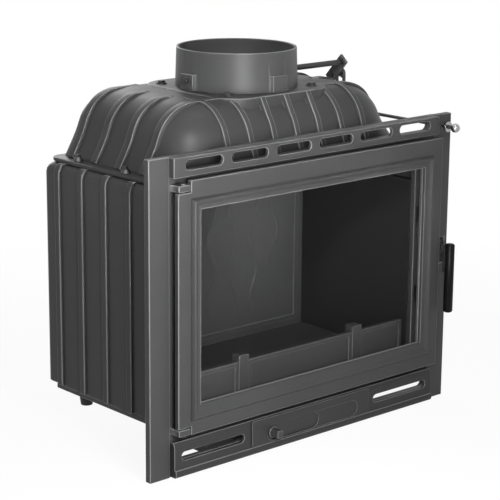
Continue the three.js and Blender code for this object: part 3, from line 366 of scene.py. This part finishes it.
def seenPlainly(shader):
    # 1 for the rays that see the backdrop: from the camera, through glass or off a glossy face
    rays = ("Is Camera Ray", "Is Glossy Ray", "Is Transmission Ray")
    camera, glossy, through = (shader.node("ShaderNodeLightPath", out=ray) for ray in rays)
    return camera.maths("MAXIMUM", camera.maths("MAXIMUM", camera, through), glossy)


def addWorld():
    world = bpy.data.worlds.new("studio")
    bpy.context.scene.world = world
    world.use_nodes = True
    shader = Shader(world.node_tree)
    values = {"Color": backdrop["white"], "Strength": backdrop["fill"]}
    soft = shader.node("ShaderNodeBackground", values=values)
    values = {"Color": backdrop["white"], "Strength": 1.0}
    white = shader.node("ShaderNodeBackground", values=values)
    mix = shader.node("ShaderNodeMixShader", values={0: seenPlainly(shader), 1: soft, 2: white})
    shader.node("ShaderNodeOutputWorld", values={"Surface": mix})


def paleFloor(shader):
    radius = shader.node(
        "ShaderNodeVectorMath", {"operation": "LENGTH"}, {0: shader.place()}, out="Value"
    )
    values = {
        "Value": radius,
        "From Min": backdrop["fadeFrom"],
        "From Max": backdrop["fadeTo"],
        "To Min": backdrop["glow"],
        "To Max": 1.0,
    }
    share = shader.node("ShaderNodeMapRange", {"clamp": True}, values)
    pale = shader.node("ShaderNodeBsdfDiffuse", values={"Color": backdrop["floorTone"]})
    values = {"Color": backdrop["white"], "Strength": 1.0}
    white = shader.node("ShaderNodeEmission", values=values)
    values = {0: seenPlainly(shader) * share, 1: pale, 2: white}
    mix = shader.node("ShaderNodeMixShader", values=values)
    shader.node("ShaderNodeOutputMaterial", values={"Surface": mix})


def addFloor():
    bm = bmesh.new()
    bmesh.ops.create_circle(
        bm, cap_ends=True, radius=backdrop["reach"], segments=backdrop["segments"]
    )
    mesh = bpy.data.meshes.new("floor")
    bm.to_mesh(mesh)
    bm.free()
    floor = bpy.data.objects.new("floor", mesh)
    floor.location.z = -backdrop["drop"]
    mesh.materials.append(material("paleFloor", paleFloor))
    bpy.context.scene.collection.objects.link(floor)


addCamera()
addLamps()
addWorld()
addFloor()
bpy.context.scene.view_settings.view_transform = "Standard"
print("studio ready")


# Making pieces


def shown(mesh, name, body, slot, replaces=()):
    mesh.materials.clear()
    mesh.materials.append(finishes[slot])
    mesh.name = name
    piece = bpy.data.objects.new(name, mesh)
    bpy.context.scene.collection.objects.link(piece)
    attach(piece, body)
    if replaces:
        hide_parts(*replaces)


joinReach = 1e-6  # metres between points that are one


def smoothed(mesh, sharp):
    # joins doubles, turns the faces outwards and smooths what bends less than `sharp` degrees
    bm = bmesh.new()
    bm.from_mesh(mesh)
    bmesh.ops.remove_doubles(bm, verts=bm.verts, dist=joinReach)
    bmesh.ops.recalc_face_normals(bm, faces=bm.faces)
    bm.to_mesh(mesh)
    bm.free()
    mesh.polygons.foreach_set("use_smooth", [True] * len(mesh.polygons))
    mesh.set_sharp_from_angle(angle=math.radians(sharp))
    return mesh


def marked(mesh, values, shade=0.0):
    # how far each face takes the painted edge highlight, from 0 to 1, and how far the whole piece
    # is darkened
    for name, row in (("edge", values), ("shade", [shade] * len(values))):
        layer = mesh.attributes.new(name, "FLOAT", "FACE")
        layer.data.foreach_set("value", row)
    return mesh


def narrowMarked(mesh, width, flat=0.0, shade=0.0, reach=math.inf):
    # marks the rounded edges for the painted edge highlight: the faces whose shortest side is under
    # `width` millimetres and whose longest is under `reach`; the rest take `flat`
    values = []
    for face in mesh.polygons:
        points = [mesh.vertices[i].co for i in face.vertices]
        sides = [(p - q).length for p, q in zip(points, points[1:] + points[:1])]
        values.append(1.0 if min(sides) < mm(width) and max(sides) < mm(reach) else flat)
    return marked(mesh, values, shade)


def evaluated(item):
    bpy.context.view_layer.update()
    graph = bpy.context.evaluated_depsgraph_get()
    return bpy.data.meshes.new_from_object(item.evaluated_get(graph))


class Shape:
    # closed skins of rings of points, gathered into one mesh
    def __init__(self):
        self.points = []
        self.faces = []

    def skin(self, rings):
        # the last ring meets the first
        start = len(self.points)
        count = len(rings[0])
        for ring in rings:
            self.points.extend(ring)
        for i in range(len(rings)):
            below = start + i * count
            above = start + (i + 1) % len(rings) * count
            for j in range(count):
                k = (j + 1) % count
                self.faces.append((below + j, below + k, above + k, above + j))
        return self

    def mesh(self, name):
        made = bpy.data.meshes.new(name)
        made.from_pydata(self.points, [], self.faces)
        made.validate()
        return made


# Cast and pressed edges: a copy of the CAD node with its flats joined and its edges rounded

edges = {  # how far each node's edges are cut back, in millimetres
    "front_frame": 1.3, "grille_plate": 1.1, "lower_panel": 1.0, "air_plate": 0.5,
    "air_slider": 0.5, "side_casting_left": 1.5, "side_casting_right": 1.5, "back_casting": 1.5,
    "base_plate": 1.2, "rear_foot_left": 1.2, "rear_foot_right": 1.2, "air_box": 0.8,
    "ash_pan": 0.4, "grate": 1.2, "side_liner_left": 1.2, "side_liner_right": 1.2,
    "back_liner": 0.8, "baffle_plate": 1.2, "log_retainer": 0.9, "flue_collar": 0.9,
    "damper_flap": 0.8, "crank_arm": 0.6, "crank_bolt": 0.4, "door_frame": 1.3,
    "glass_seal": 0.3, "door_seal": 0.6, "glass_clip_lower_left": 0.3,
    "glass_clip_lower_right": 0.3, "glass_clip_upper_left": 0.3, "glass_clip_upper_right": 0.3,
    "handle_bracket": 0.4, "handle_lever": 0.5, "latch_keeper": 0.4, "slider_knob": 0.7,
    "rod_ring": 0.6, "damper_shaft": 0.5, "hinge_pin_upper": 0.4, "hinge_pin_lower": 0.4,
    "door_glass": 0.4,
}
softening = {
    "segments": 2,
    "angle": 34,  # degrees from which a bend is an edge
    "flat": 0.002,  # radians under which two faces are one
    "join": 2e-6,
}
turned = {"nodes": ("pull_rod", "ball_knob", "handle_grip"), "sharp": 40}
shades = {  # pieces darkened, from 0 to 1: painted shade on the firebox liners and baffle, the casting sides and the hood; the lower panel, its air plate and slider, and the handle bracket and lever are simply darker
    "lower_panel": 0.5, "air_plate": 0.4, "air_slider": 0.4, "side_liner_left": 0.9,
    "side_liner_right": 0.9, "hood": 0.4, "side_casting_left": 0.18, "side_casting_right": 0.18,
    "baffle_plate": 1.0, "handle_bracket": 0.8, "handle_lever": 0.9,
}


def camelName(node):
    # a node of one word takes a second, because its own object holds that name
    first, *rest = node.split("_") if "_" in node else (node, "casting")
    return first + "".join(word.capitalize() for word in rest)


def softened(node, width):
    # the bevel gives its own faces the second material, which tells them from the flats and marks
    # them for the painted edge highlight
    mesh = frame["nodes"][node].data.copy()
    bm = bmesh.new()
    bm.from_mesh(mesh)
    bmesh.ops.remove_doubles(bm, verts=bm.verts, dist=softening["join"])
    flat = [edge for edge in bm.edges if edge.calc_face_angle(1) < softening["flat"]]
    bmesh.ops.beautify_fill(bm, faces=bm.faces, edges=flat, method="ANGLE")
    bmesh.ops.join_triangles(
        bm, faces=bm.faces, angle_face_threshold=softening["flat"], angle_shape_threshold=math.pi
    )
    weight = bm.edges.layers.float.new("bevel_weight_edge")
    for edge in bm.edges:
        edge[weight] = float(edge.calc_face_angle_signed(0) > math.radians(softening["angle"]))
    bm.to_mesh(mesh)
    bm.free()
    mesh.polygons.foreach_set("use_smooth", [True] * len(mesh.polygons))
    mesh.set_sharp_from_angle(angle=math.radians(softening["angle"]))
    mesh.materials.append(finishes[nodeSlot[node]])
    draft = bpy.data.objects.new("draft", mesh)
    bpy.context.scene.collection.objects.link(draft)
    bevel = draft.modifiers.new("edges", "BEVEL")
    bevel.width = mm(width)
    bevel.segments = softening["segments"]
    bevel.limit_method = "WEIGHT"
    bevel.loop_slide = False
    bevel.use_clamp_overlap = False
    bevel.material = 1
    even = draft.modifiers.new("even", "WEIGHTED_NORMAL")
    even.keep_sharp = True
    made = evaluated(draft)
    bpy.data.objects.remove(draft)
    slots = [0] * len(made.polygons)
    made.polygons.foreach_get("material_index", slots)
    made.polygons.foreach_set("material_index", [0] * len(slots))
    shade = shades.get(node, 0.0)
    # a darkened piece keeps less of the painted edge highlight
    highlightShare = 1 - shade * shade  # a darkened piece has fainter edges
    return marked(made, [slot * highlightShare for slot in slots], shade)


def addRefined(made, node):
    shown(made, camelName(node), nodeBody[node], nodeSlot[node], [node])


for node, width in edges.items():
    addRefined(softened(node, width), node)
print("softened pieces:", len(edges))

for node in turned["nodes"]:
    made = smoothed(frame["nodes"][node].data.copy(), turned["sharp"])
    addRefined(marked(made, [0.0] * len(made.polygons)), node)
print("turned pieces smoothed:", len(turned["nodes"]))


# Hood

hood = {
    "half": 290,
    "front": 12.3,
    "back": 332,
    "lipTop": 461.5,
    "lipBottom": 455.3,
    "lipHalf": 282,
    "lipBack": 326,
    "lipCorner": 20,
    "wall": 5,
    "rings": (  # rise above the lip, then insets: side, front, back, front corner, back corner
        (0, 28, 3.7, 10, 80, 22),
        (38.5, 49, 19.7, 11, 78, 22),
        (68.5, 61.5, 31.2, 13, 71, 22),
        (87.5, 77, 46.7, 18, 61, 24),
        (100.5, 100, 66.7, 29, 54, 28),
        (106.5, 135, 90.7, 44, 50, 30),
    ),
    "steps": 44,
    "cornerSteps": 18,
    "straightSteps": 14,
    "fluePlace": (0, 182.5),
    "flueHole": 92,
    "seatHalf": (118, 120.5),
    "seatCorner": 50,
    "seatTop": 569,
    "seatBottom": 546,
    "seatRounding": ((0, 1.5), (0.5, 0.5), (1.5, 0)),  # inset and depth under the seat's top
    "lipRounding": 1,
    "sharp": 32,
    "edgeWidth": 1.45,
    "edgeReach": 45,
}
shortestSpan = 1e-4  # keeps points that lie together from dividing by nothing


def smoothCurve(points, t):
    # a centripetal curve through the points, which goes on straight at either end
    place = t * (len(points) - 1)
    index = min(int(place), len(points) - 2)
    share = place - index
    first = [2 * a - b for a, b in zip(points[0], points[1])]
    last = [2 * a - b for a, b in zip(points[-1], points[-2])]
    four = [first, *points, last][index : index + 4]
    spans = [sum((a - b) ** 2 for a, b in zip(p, q)) ** 0.25 for p, q in zip(four, four[1:])]
    d0, d1, d2 = (max(span, shortestSpan) for span in spans)
    result = []
    for x0, x1, x2, x3 in zip(*four):
        m1 = ((x1 - x0) / d0 - (x2 - x0) / (d0 + d1) + (x2 - x1) / d1) * d1
        m2 = ((x2 - x1) / d1 - (x3 - x1) / (d1 + d2) + (x3 - x2) / d2) * d1
        c2 = 3 * (x2 - x1) - 2 * m1 - m2
        c3 = 2 * (x1 - x2) + m1 + m2
        result.append(x1 + share * (m1 + share * (c2 + share * c3)))
    return result


def hoodRing(t):
    rows = hood["rings"]
    rise, side, front = smoothCurve([row[:3] for row in rows], t)
    back, frontCorner, backCorner = smoothCurve([row[3:] for row in rows], t)
    return {
        "z": hood["lipTop"] + rise,
        "half": hood["half"] - side,
        "front": hood["front"] + front,
        "back": hood["back"] - back,
        "frontCorner": frontCorner,
        "backCorner": backCorner,
    }


def planRing(half, front, back, frontCorner, backCorner, z):
    # a level rectangle with rounded corners, all of them with the same count of points
    corners = (
        (half - backCorner, back - backCorner, backCorner),
        (backCorner - half, back - backCorner, backCorner),
        (frontCorner - half, front + frontCorner, frontCorner),
        (half - frontCorner, front + frontCorner, frontCorner),
    )
    steps, runs = hood["cornerSteps"], hood["straightSteps"]
    arcs = []
    for quarter, (x, y, radius) in enumerate(corners):
        angles = [(quarter + i / steps) * math.pi / 2 for i in range(steps + 1)]
        arcs.append([at(x + radius * math.cos(a), y + radius * math.sin(a), z) for a in angles])
    ring = []
    for arc, following in zip(arcs, arcs[1:] + arcs[:1]):
        ring += arc
        ring += [arc[-1].lerp(following[0], i / runs) for i in range(1, runs)]
    return ring


def inset(plan, sides, front, corners):
    # a plan drawn in at its sides and back, at its front, and in its corners' radii
    half, frontY, backY, *radii = plan
    return (half - sides, frontY + front, backY - sides, *(radius - corners for radius in radii))


def atHeight(ring, z):
    return [Vector((point.x, point.y, mm(z))) for point in ring]


def circleRing(radius, z, like):
    # a circle round the flue, with a point facing each point of another ring
    centre = at(*hood["fluePlace"], z)
    ring = []
    for point in like:
        arm = point - centre
        arm.z = 0
        ring.append(centre + arm.normalized() * mm(radius))
    return ring


def hoodWall(shape):
    # the domed wall, and the outline that runs inside it at the lip
    steps, wall = hood["steps"], hood["wall"]
    outer, inner = [], []
    for i in range(steps + 1):
        ring = hoodRing(i / steps)
        plan = [ring[key] for key in ("half", "front", "back", "frontCorner", "backCorner")]
        outer.append(planRing(*plan, ring["z"]))
        inner.append(planRing(*inset(plan, wall, wall, wall), ring["z"] - wall * i / steps))
    top = ring["z"]
    shape.skin(
        [
            atHeight(outer[0], hood["lipBottom"]),
            *outer,
            circleRing(hood["flueHole"], top, outer[-1]),
            circleRing(hood["flueHole"], top - wall, inner[-1]),
            *reversed(inner),
            atHeight(inner[0], hood["lipBottom"]),
        ]
    )
    return [(p + q) / 2 for p, q in zip(outer[0], inner[0])]


def hoodLip(shape, insideWall):
    corner, rounding = hood["lipCorner"], hood["lipRounding"]
    low, high = hood["lipBottom"], hood["lipTop"]
    wide = (hood["lipHalf"], hood["front"], hood["lipBack"], corner, corner)
    tight = inset(wide, rounding, 0, rounding)
    shape.skin(
        [
            planRing(*tight, low),
            planRing(*wide, low + rounding),
            planRing(*wide, high - rounding),
            planRing(*tight, high),
            atHeight(insideWall, high),
            atHeight(insideWall, low),
        ]
    )


def hoodSeat(shape):
    # the flat block that the collar stands on
    halfX, halfY = hood["seatHalf"]
    middle = hood["fluePlace"][1]
    plan = (halfX, middle - halfY, middle + halfY, hood["seatCorner"], hood["seatCorner"])
    rings = [planRing(*plan, hood["seatBottom"])]
    for drawn, depth in hood["seatRounding"]:
        rings.append(planRing(*inset(plan, drawn, drawn, 0), hood["seatTop"] - depth))
    rings.append(circleRing(hood["flueHole"], hood["seatTop"], rings[-1]))
    rings.append(circleRing(hood["flueHole"], hood["seatBottom"], rings[0]))
    shape.skin(rings)


def addHood():
    shape = Shape()
    hoodLip(shape, hoodWall(shape))
    hoodSeat(shape)
    made = smoothed(shape.mesh("hoodShell"), hood["sharp"])
    made = narrowMarked(made, hood["edgeWidth"], shade=shades["hood"], reach=hood["edgeReach"])
    shown(made, "hoodShell", "root", "cast_iron", ["hood"])


addHood()
print("hood lofted")


# Ribs: one tree sweeps a rounded trapezoid along each path, flat on the casting


def geometryTree(name, sizes):
    # a tree that takes a mesh, some sizes and a material, with a wire for each
    tree = bpy.data.node_groups.new(name, "GeometryNodeTree")
    kinds = {"Geometry": "Geometry", **{size: "Float" for size in sizes}, "Material": "Material"}
    for label, kind in kinds.items():
        tree.interface.new_socket(label, in_out="INPUT", socket_type="NodeSocket" + kind)
    tree.interface.new_socket("Geometry", in_out="OUTPUT", socket_type="NodeSocketGeometry")
    shader = Shader(tree)
    return shader, {label: shader.node("NodeGroupInput", out=label) for label in kinds}


def finishedTree(shader, geometry, finish):
    geometry = shader.node("GeometryNodeRealizeInstances", values={"Geometry": geometry})
    values = {"Geometry": geometry, "Material": finish}
    geometry = shader.node("GeometryNodeSetMaterial", values=values)
    shader.node("NodeGroupOutput", values={0: geometry})
    return shader.tree


def plainMesh(mesh, tree, values):
    # runs a tree on a mesh and gives the result as a plain mesh
    draft = bpy.data.objects.new("draft", mesh)
    bpy.context.scene.collection.objects.link(draft)
    modifier = draft.modifiers.new("tree", "NODES")
    modifier.node_group = tree
    for socket in tree.interface.items_tree:
        if socket.in_out == "INPUT" and socket.name in values:
            modifier[socket.identifier] = values[socket.name]
    made = evaluated(draft)
    draft.modifiers.remove(modifier)
    bpy.data.objects.remove(draft)
    return made


def ribTree():
    shader, given = geometryTree("ribs", ("Foot width", "Top width", "Height", "Edge radius"))
    outline = shader.node(
        "GeometryNodeCurvePrimitiveQuadrilateral",
        {"mode": "TRAPEZOID"},
        {
            "Bottom Width": given["Foot width"],
            "Top Width": given["Top width"],
            "Height": given["Height"] * 2,
            "Offset": 0.0,
        },
    )
    outline = shader.node(
        "GeometryNodeFilletCurve",
        {"mode": "POLY"},
        {"Curve": outline, "Count": 3, "Radius": given["Edge radius"]},
    )
    path = shader.node("GeometryNodeMeshToCurve", values={"Mesh": given["Geometry"]})
    across = shader.node(
        "GeometryNodeInputNamedAttribute", {"data_type": "FLOAT_VECTOR"}, {"Name": "across"}
    )
    values = {"Curve": path, "Normal": across}
    path = shader.node("GeometryNodeSetCurveNormal", {"mode": "FREE"}, values)
    values = {"Curve": path, "Profile Curve": outline, "Fill Caps": True}
    rib = shader.node("GeometryNodeCurveToMesh", values=values)
    return finishedTree(shader, rib, given["Material"])


def pathMesh(paths):
    # each path is a row of (point, way out of the casting)
    points, lines, across = [], [], []
    for path in paths:
        start = len(points)
        for i, (point, outward) in enumerate(path):
            ahead = path[min(i + 1, len(path) - 1)][0] - path[max(i - 1, 0)][0]
            across.append(outward.cross(ahead).normalized())
            points.append(point)
            if i:
                lines.append((start + i - 1, start + i))
    mesh = bpy.data.meshes.new("paths")
    mesh.from_pydata(points, lines, [])
    layer = mesh.attributes.new("across", "FLOAT_VECTOR", "POINT")
    layer.data.foreach_set("vector", [value for row in across for value in row])
    return mesh


hoodRibs = {
    "sideY": (103, 165, 227, 289),
    "frontX": (-150, -100, -50, 0, 50, 100, 150),
    "sideWidth": 17,
    "frontWidth": 12,
    "draft": 2.4,  # how much wider the foot is than the middle, and the middle than the top
    "height": 4,
    "edgeRadius": 1.3,
    "fade": 0.8,  # share of the way up from which a rib sinks into the top
    "sunk": 3.4,
    "steps": 60,
    "look": 2,  # steps to either side that set a rib's direction
    "webHalf": 60,  # ribs this near the middle climb the front of the collar's seat
    "webFrom": 0.46,
    "webTo": 0.62,
    "webEnd": (64.5, 566.2),  # Y and Z of their upper end
    "sharp": 45,
    "edgeWidth": 0.9,
    # share of the painted edge highlight on the ribs' flat faces: painted light on their tops
    "flatMark": 0.04,
    "slot": "cast_iron",
}


def cornerFall(radius, reach):
    inside = min(max(reach, 0), radius)
    return radius - math.sqrt(radius * radius - inside * inside)


def webPoint(x, place, t):
    # from the hood up to the top edge of the seat
    share = min(max((t - hoodRibs["webFrom"]) / (hoodRibs["webTo"] - hoodRibs["webFrom"]), 0), 1)
    low = place(hoodRing(min(t, hoodRibs["webFrom"])))
    return low.lerp(at(x, *hoodRibs["webEnd"]), share)


def wayOut(points, i):
    # square to the path at one point, and up out of the casting
    look = hoodRibs["look"]
    along = points[min(i + look, len(points) - 1)] - points[max(i - look, 0)]
    outward = Vector((-along.y, along.x, 0)).normalized().cross(along).normalized()
    return -outward if outward.z < 0 else outward


def sinking(t):
    # how deep a rib has sunk at a share of its way up
    share = max(t - hoodRibs["fade"], 0) / (1 - hoodRibs["fade"])
    return mm(hoodRibs["sunk"] * share * share * (3 - 2 * share))


def hoodPath(place):
    # up the hood at one place, place(ring) being its plan position
    steps = hoodRibs["steps"]
    points = [place(hoodRing(i / steps)) for i in range(steps + 1)]
    outs = [wayOut(points, i) for i in range(steps + 1)]
    return [(points[i] - outs[i] * sinking(i / steps), outs[i]) for i in range(steps + 1)]


def webPath(x, place):
    # up the hood and on to the seat
    steps = hoodRibs["steps"]
    points = [webPoint(x, place, hoodRibs["webTo"] * i / steps) for i in range(steps + 1)]
    return [(point, wayOut(points, i)) for i, point in enumerate(points)]


def sidePlace(side, y):
    def place(ring):
        atFront = cornerFall(ring["frontCorner"], ring["front"] + ring["frontCorner"] - y)
        atBack = cornerFall(ring["backCorner"], y - ring["back"] + ring["backCorner"])
        return at(side * (ring["half"] - atFront - atBack), y, ring["z"])

    return place


def frontPlace(x):
    def place(ring):
        fall = cornerFall(ring["frontCorner"], abs(x) - ring["half"] + ring["frontCorner"])
        return at(x, ring["front"] + fall, ring["z"])

    return place


def frontPath(x):
    place = frontPlace(x)
    return webPath(x, place) if abs(x) < hoodRibs["webHalf"] else hoodPath(place)


def swept(tree, paths, foot, top, row):
    values = {
        "Foot width": mm(foot),
        "Top width": mm(top),
        "Height": mm(row["height"]),
        "Edge radius": mm(row["edgeRadius"]),
        "Material": finishes[row["slot"]],
    }
    return smoothed(plainMesh(pathMesh(paths), tree, values), row["sharp"])


def addHoodRibs(tree):
    sidePaths = [hoodPath(sidePlace(side, y)) for side in (-1, 1) for y in hoodRibs["sideY"]]
    frontPaths = [frontPath(x) for x in hoodRibs["frontX"]]
    groups = {
        "hoodSideRibs": (hoodRibs["sideWidth"], sidePaths),
        "hoodFrontRibs": (hoodRibs["frontWidth"], frontPaths),
    }
    for name, (width, paths) in groups.items():
        draft = hoodRibs["draft"]
        made = swept(tree, paths, width + draft, width - draft, hoodRibs)
        made = narrowMarked(made, hoodRibs["edgeWidth"], hoodRibs["flatMark"], shades["hood"])
        shown(made, name, "root", hoodRibs["slot"])


ribs = ribTree()
addHoodRibs(ribs)
print("hood ribs swept")


# Bolts: one tree sets a chamfered hexagon head, on its boss, on each point

bolts = {
    "lipBolts": {
        "half": 272,
        "depths": (134, 258),
        "foot": 462.1,
        "sizes": {
            "Head radius": 5,
            "Head height": 5,
            "Chamfer": 0.9,
            "Boss radius": 9,
            "Boss top": 6,
            "Boss height": 6,
        },
        "nodes": "lip_bolt",
    },
    "collarBolts": {
        "half": 91,
        "depths": (97, 268),
        "foot": 569.3,
        "sizes": {
            "Head radius": 7,
            "Head height": 4,
            "Chamfer": 0.9,
            "Boss radius": 9,
            "Boss top": 9,
            "Boss height": 1.2,
        },
        "nodes": "collar_bolt",
    },
}
boltHead = {
    "bossSides": 24,
    "headSides": 6,
    "sunk": 0.05,  # the chamfered end reaches into the head and stays inside it,
    "drawn": 0.03,  # so that no two faces lie on each other
    "sharp": 30,
    "slot": "steel",
}


def boltTree():
    shader, given = geometryTree("bolts", tuple(bolts["lipBolts"]["sizes"]))

    def cone(sides, low, high, depth, lift):
        values = {"Vertices": sides, "Radius Bottom": low, "Radius Top": high, "Depth": depth}
        made = shader.node("GeometryNodeMeshCone", values=values)
        place = shader.node("ShaderNodeCombineXYZ", values={"Z": lift})
        values = {"Geometry": made, "Translation": place}
        return shader.node("GeometryNodeTransform", values=values)

    radius, chamfer = given["Head radius"], given["Chamfer"]
    straight = given["Head height"] - chamfer
    boss = given["Boss height"]
    sides, sunk = boltHead["headSides"], mm(boltHead["sunk"])
    low, high = radius - mm(boltHead["drawn"]), radius - chamfer
    parts = (
        cone(boltHead["bossSides"], given["Boss radius"], given["Boss top"], boss, 0.0),
        cone(sides, radius, radius, straight, boss),
        cone(sides, low, high, chamfer + sunk, boss + straight - sunk),
    )
    bolt = shader.node("GeometryNodeJoinGeometry")
    for part in parts:
        shader.tree.links.new(part.socket, bolt.socket.node.inputs[0])
    points = shader.node("GeometryNodeMeshToPoints", values={"Mesh": given["Geometry"]})
    values = {"Points": points, "Instance": bolt}
    repeated = shader.node("GeometryNodeInstanceOnPoints", values=values)
    return finishedTree(shader, repeated, given["Material"])


def addBolts(tree):
    for name, row in bolts.items():
        spots = bpy.data.meshes.new("spots")
        places = [at(side * row["half"], y, row["foot"]) for y in row["depths"] for side in (-1, 1)]
        spots.from_pydata(places, [], [])
        values = {key: mm(size) for key, size in row["sizes"].items()}
        values["Material"] = finishes[boltHead["slot"]]
        made = smoothed(plainMesh(spots, tree, values), boltHead["sharp"])
        nodes = [node for node in frame["nodes"] if node.startswith(row["nodes"])]
        shown(made, name, "root", boltHead["slot"], nodes)


addBolts(boltTree())
print("bolts set")


# Door moulding: a mitred ring, stepped up at its outer edge and sloping in to the glass

moulding = {
    "outer": (268, 93, 446),  # half width, bottom, top
    "inner": (248, 118, 427),
    "face": -20,
    "section": (  # share of the way inwards, height above the door's face
        (0, -1.6), (0, 0.5), (0.08, 3.8), (0.15, 6.2), (0.22, 7.0), (0.32, 6.6),
        (0.5, 3.6), (0.66, 1.8), (0.8, 1.2), (0.92, 1.2), (0.985, 0.7), (0.985, -1.6),
    ),
    "sharp": 28,
    "edgeWidth": 1.9,
}


def addMoulding():
    (outerHalf, *outerLevels), (innerHalf, *innerLevels) = moulding["outer"], moulding["inner"]
    bottom, top = zip(outerLevels, innerLevels)
    rings = []
    for side, (outerZ, innerZ) in ((-1, bottom), (1, bottom), (1, top), (-1, top)):
        ring = []
        for share, height in moulding["section"]:
            x = side * (outerHalf + (innerHalf - outerHalf) * share)
            z = outerZ + (innerZ - outerZ) * share
            ring.append(at(x, moulding["face"] - height, z))
        rings.append(ring)
    made = smoothed(Shape().skin(rings).mesh("doorMoulding"), moulding["sharp"])
    shown(narrowMarked(made, moulding["edgeWidth"]), "doorMoulding", "door", "cast_iron")


addMoulding()
print("moulding set")


# Back liner: a plain pattern of upright waves

waves = {
    "places": [50 * i for i in range(-4, 5)],
    "face": 301,
    "from": 122,
    "to": 405,
    "swing": 9,
    "length": 118,
    "foot": 11,
    "top": 5,
    "height": 2.2,
    "edgeRadius": 1.2,
    "steps": 90,
    "ends": 0.08,  # share of a wave over which either end sinks into the liner
    "sunk": 1.5,
    "sharp": 45,
    "edgeWidth": 0.1,
    "slot": "firebox_iron",
}


def wavePath(number, x):
    path = []
    for i in range(waves["steps"] + 1):
        share = i / waves["steps"]
        z = waves["from"] + (waves["to"] - waves["from"]) * share
        turn = 2 * math.pi * z / waves["length"] + (number % 2) * math.pi
        clear = min(share, 1 - share, waves["ends"]) / waves["ends"]
        y = waves["face"] + waves["sunk"] * (1 - clear)
        path.append((at(x + waves["swing"] * math.sin(turn), y, z), Vector((0, -1, 0))))
    return path


def addWaves(tree):
    paths = [wavePath(number, x) for number, x in enumerate(waves["places"])]
    made = swept(tree, paths, waves["foot"], waves["top"], waves)
    shown(narrowMarked(made, waves["edgeWidth"]), "linerWaves", "root", waves["slot"])


addWaves(ribs)
print("liner waves swept")
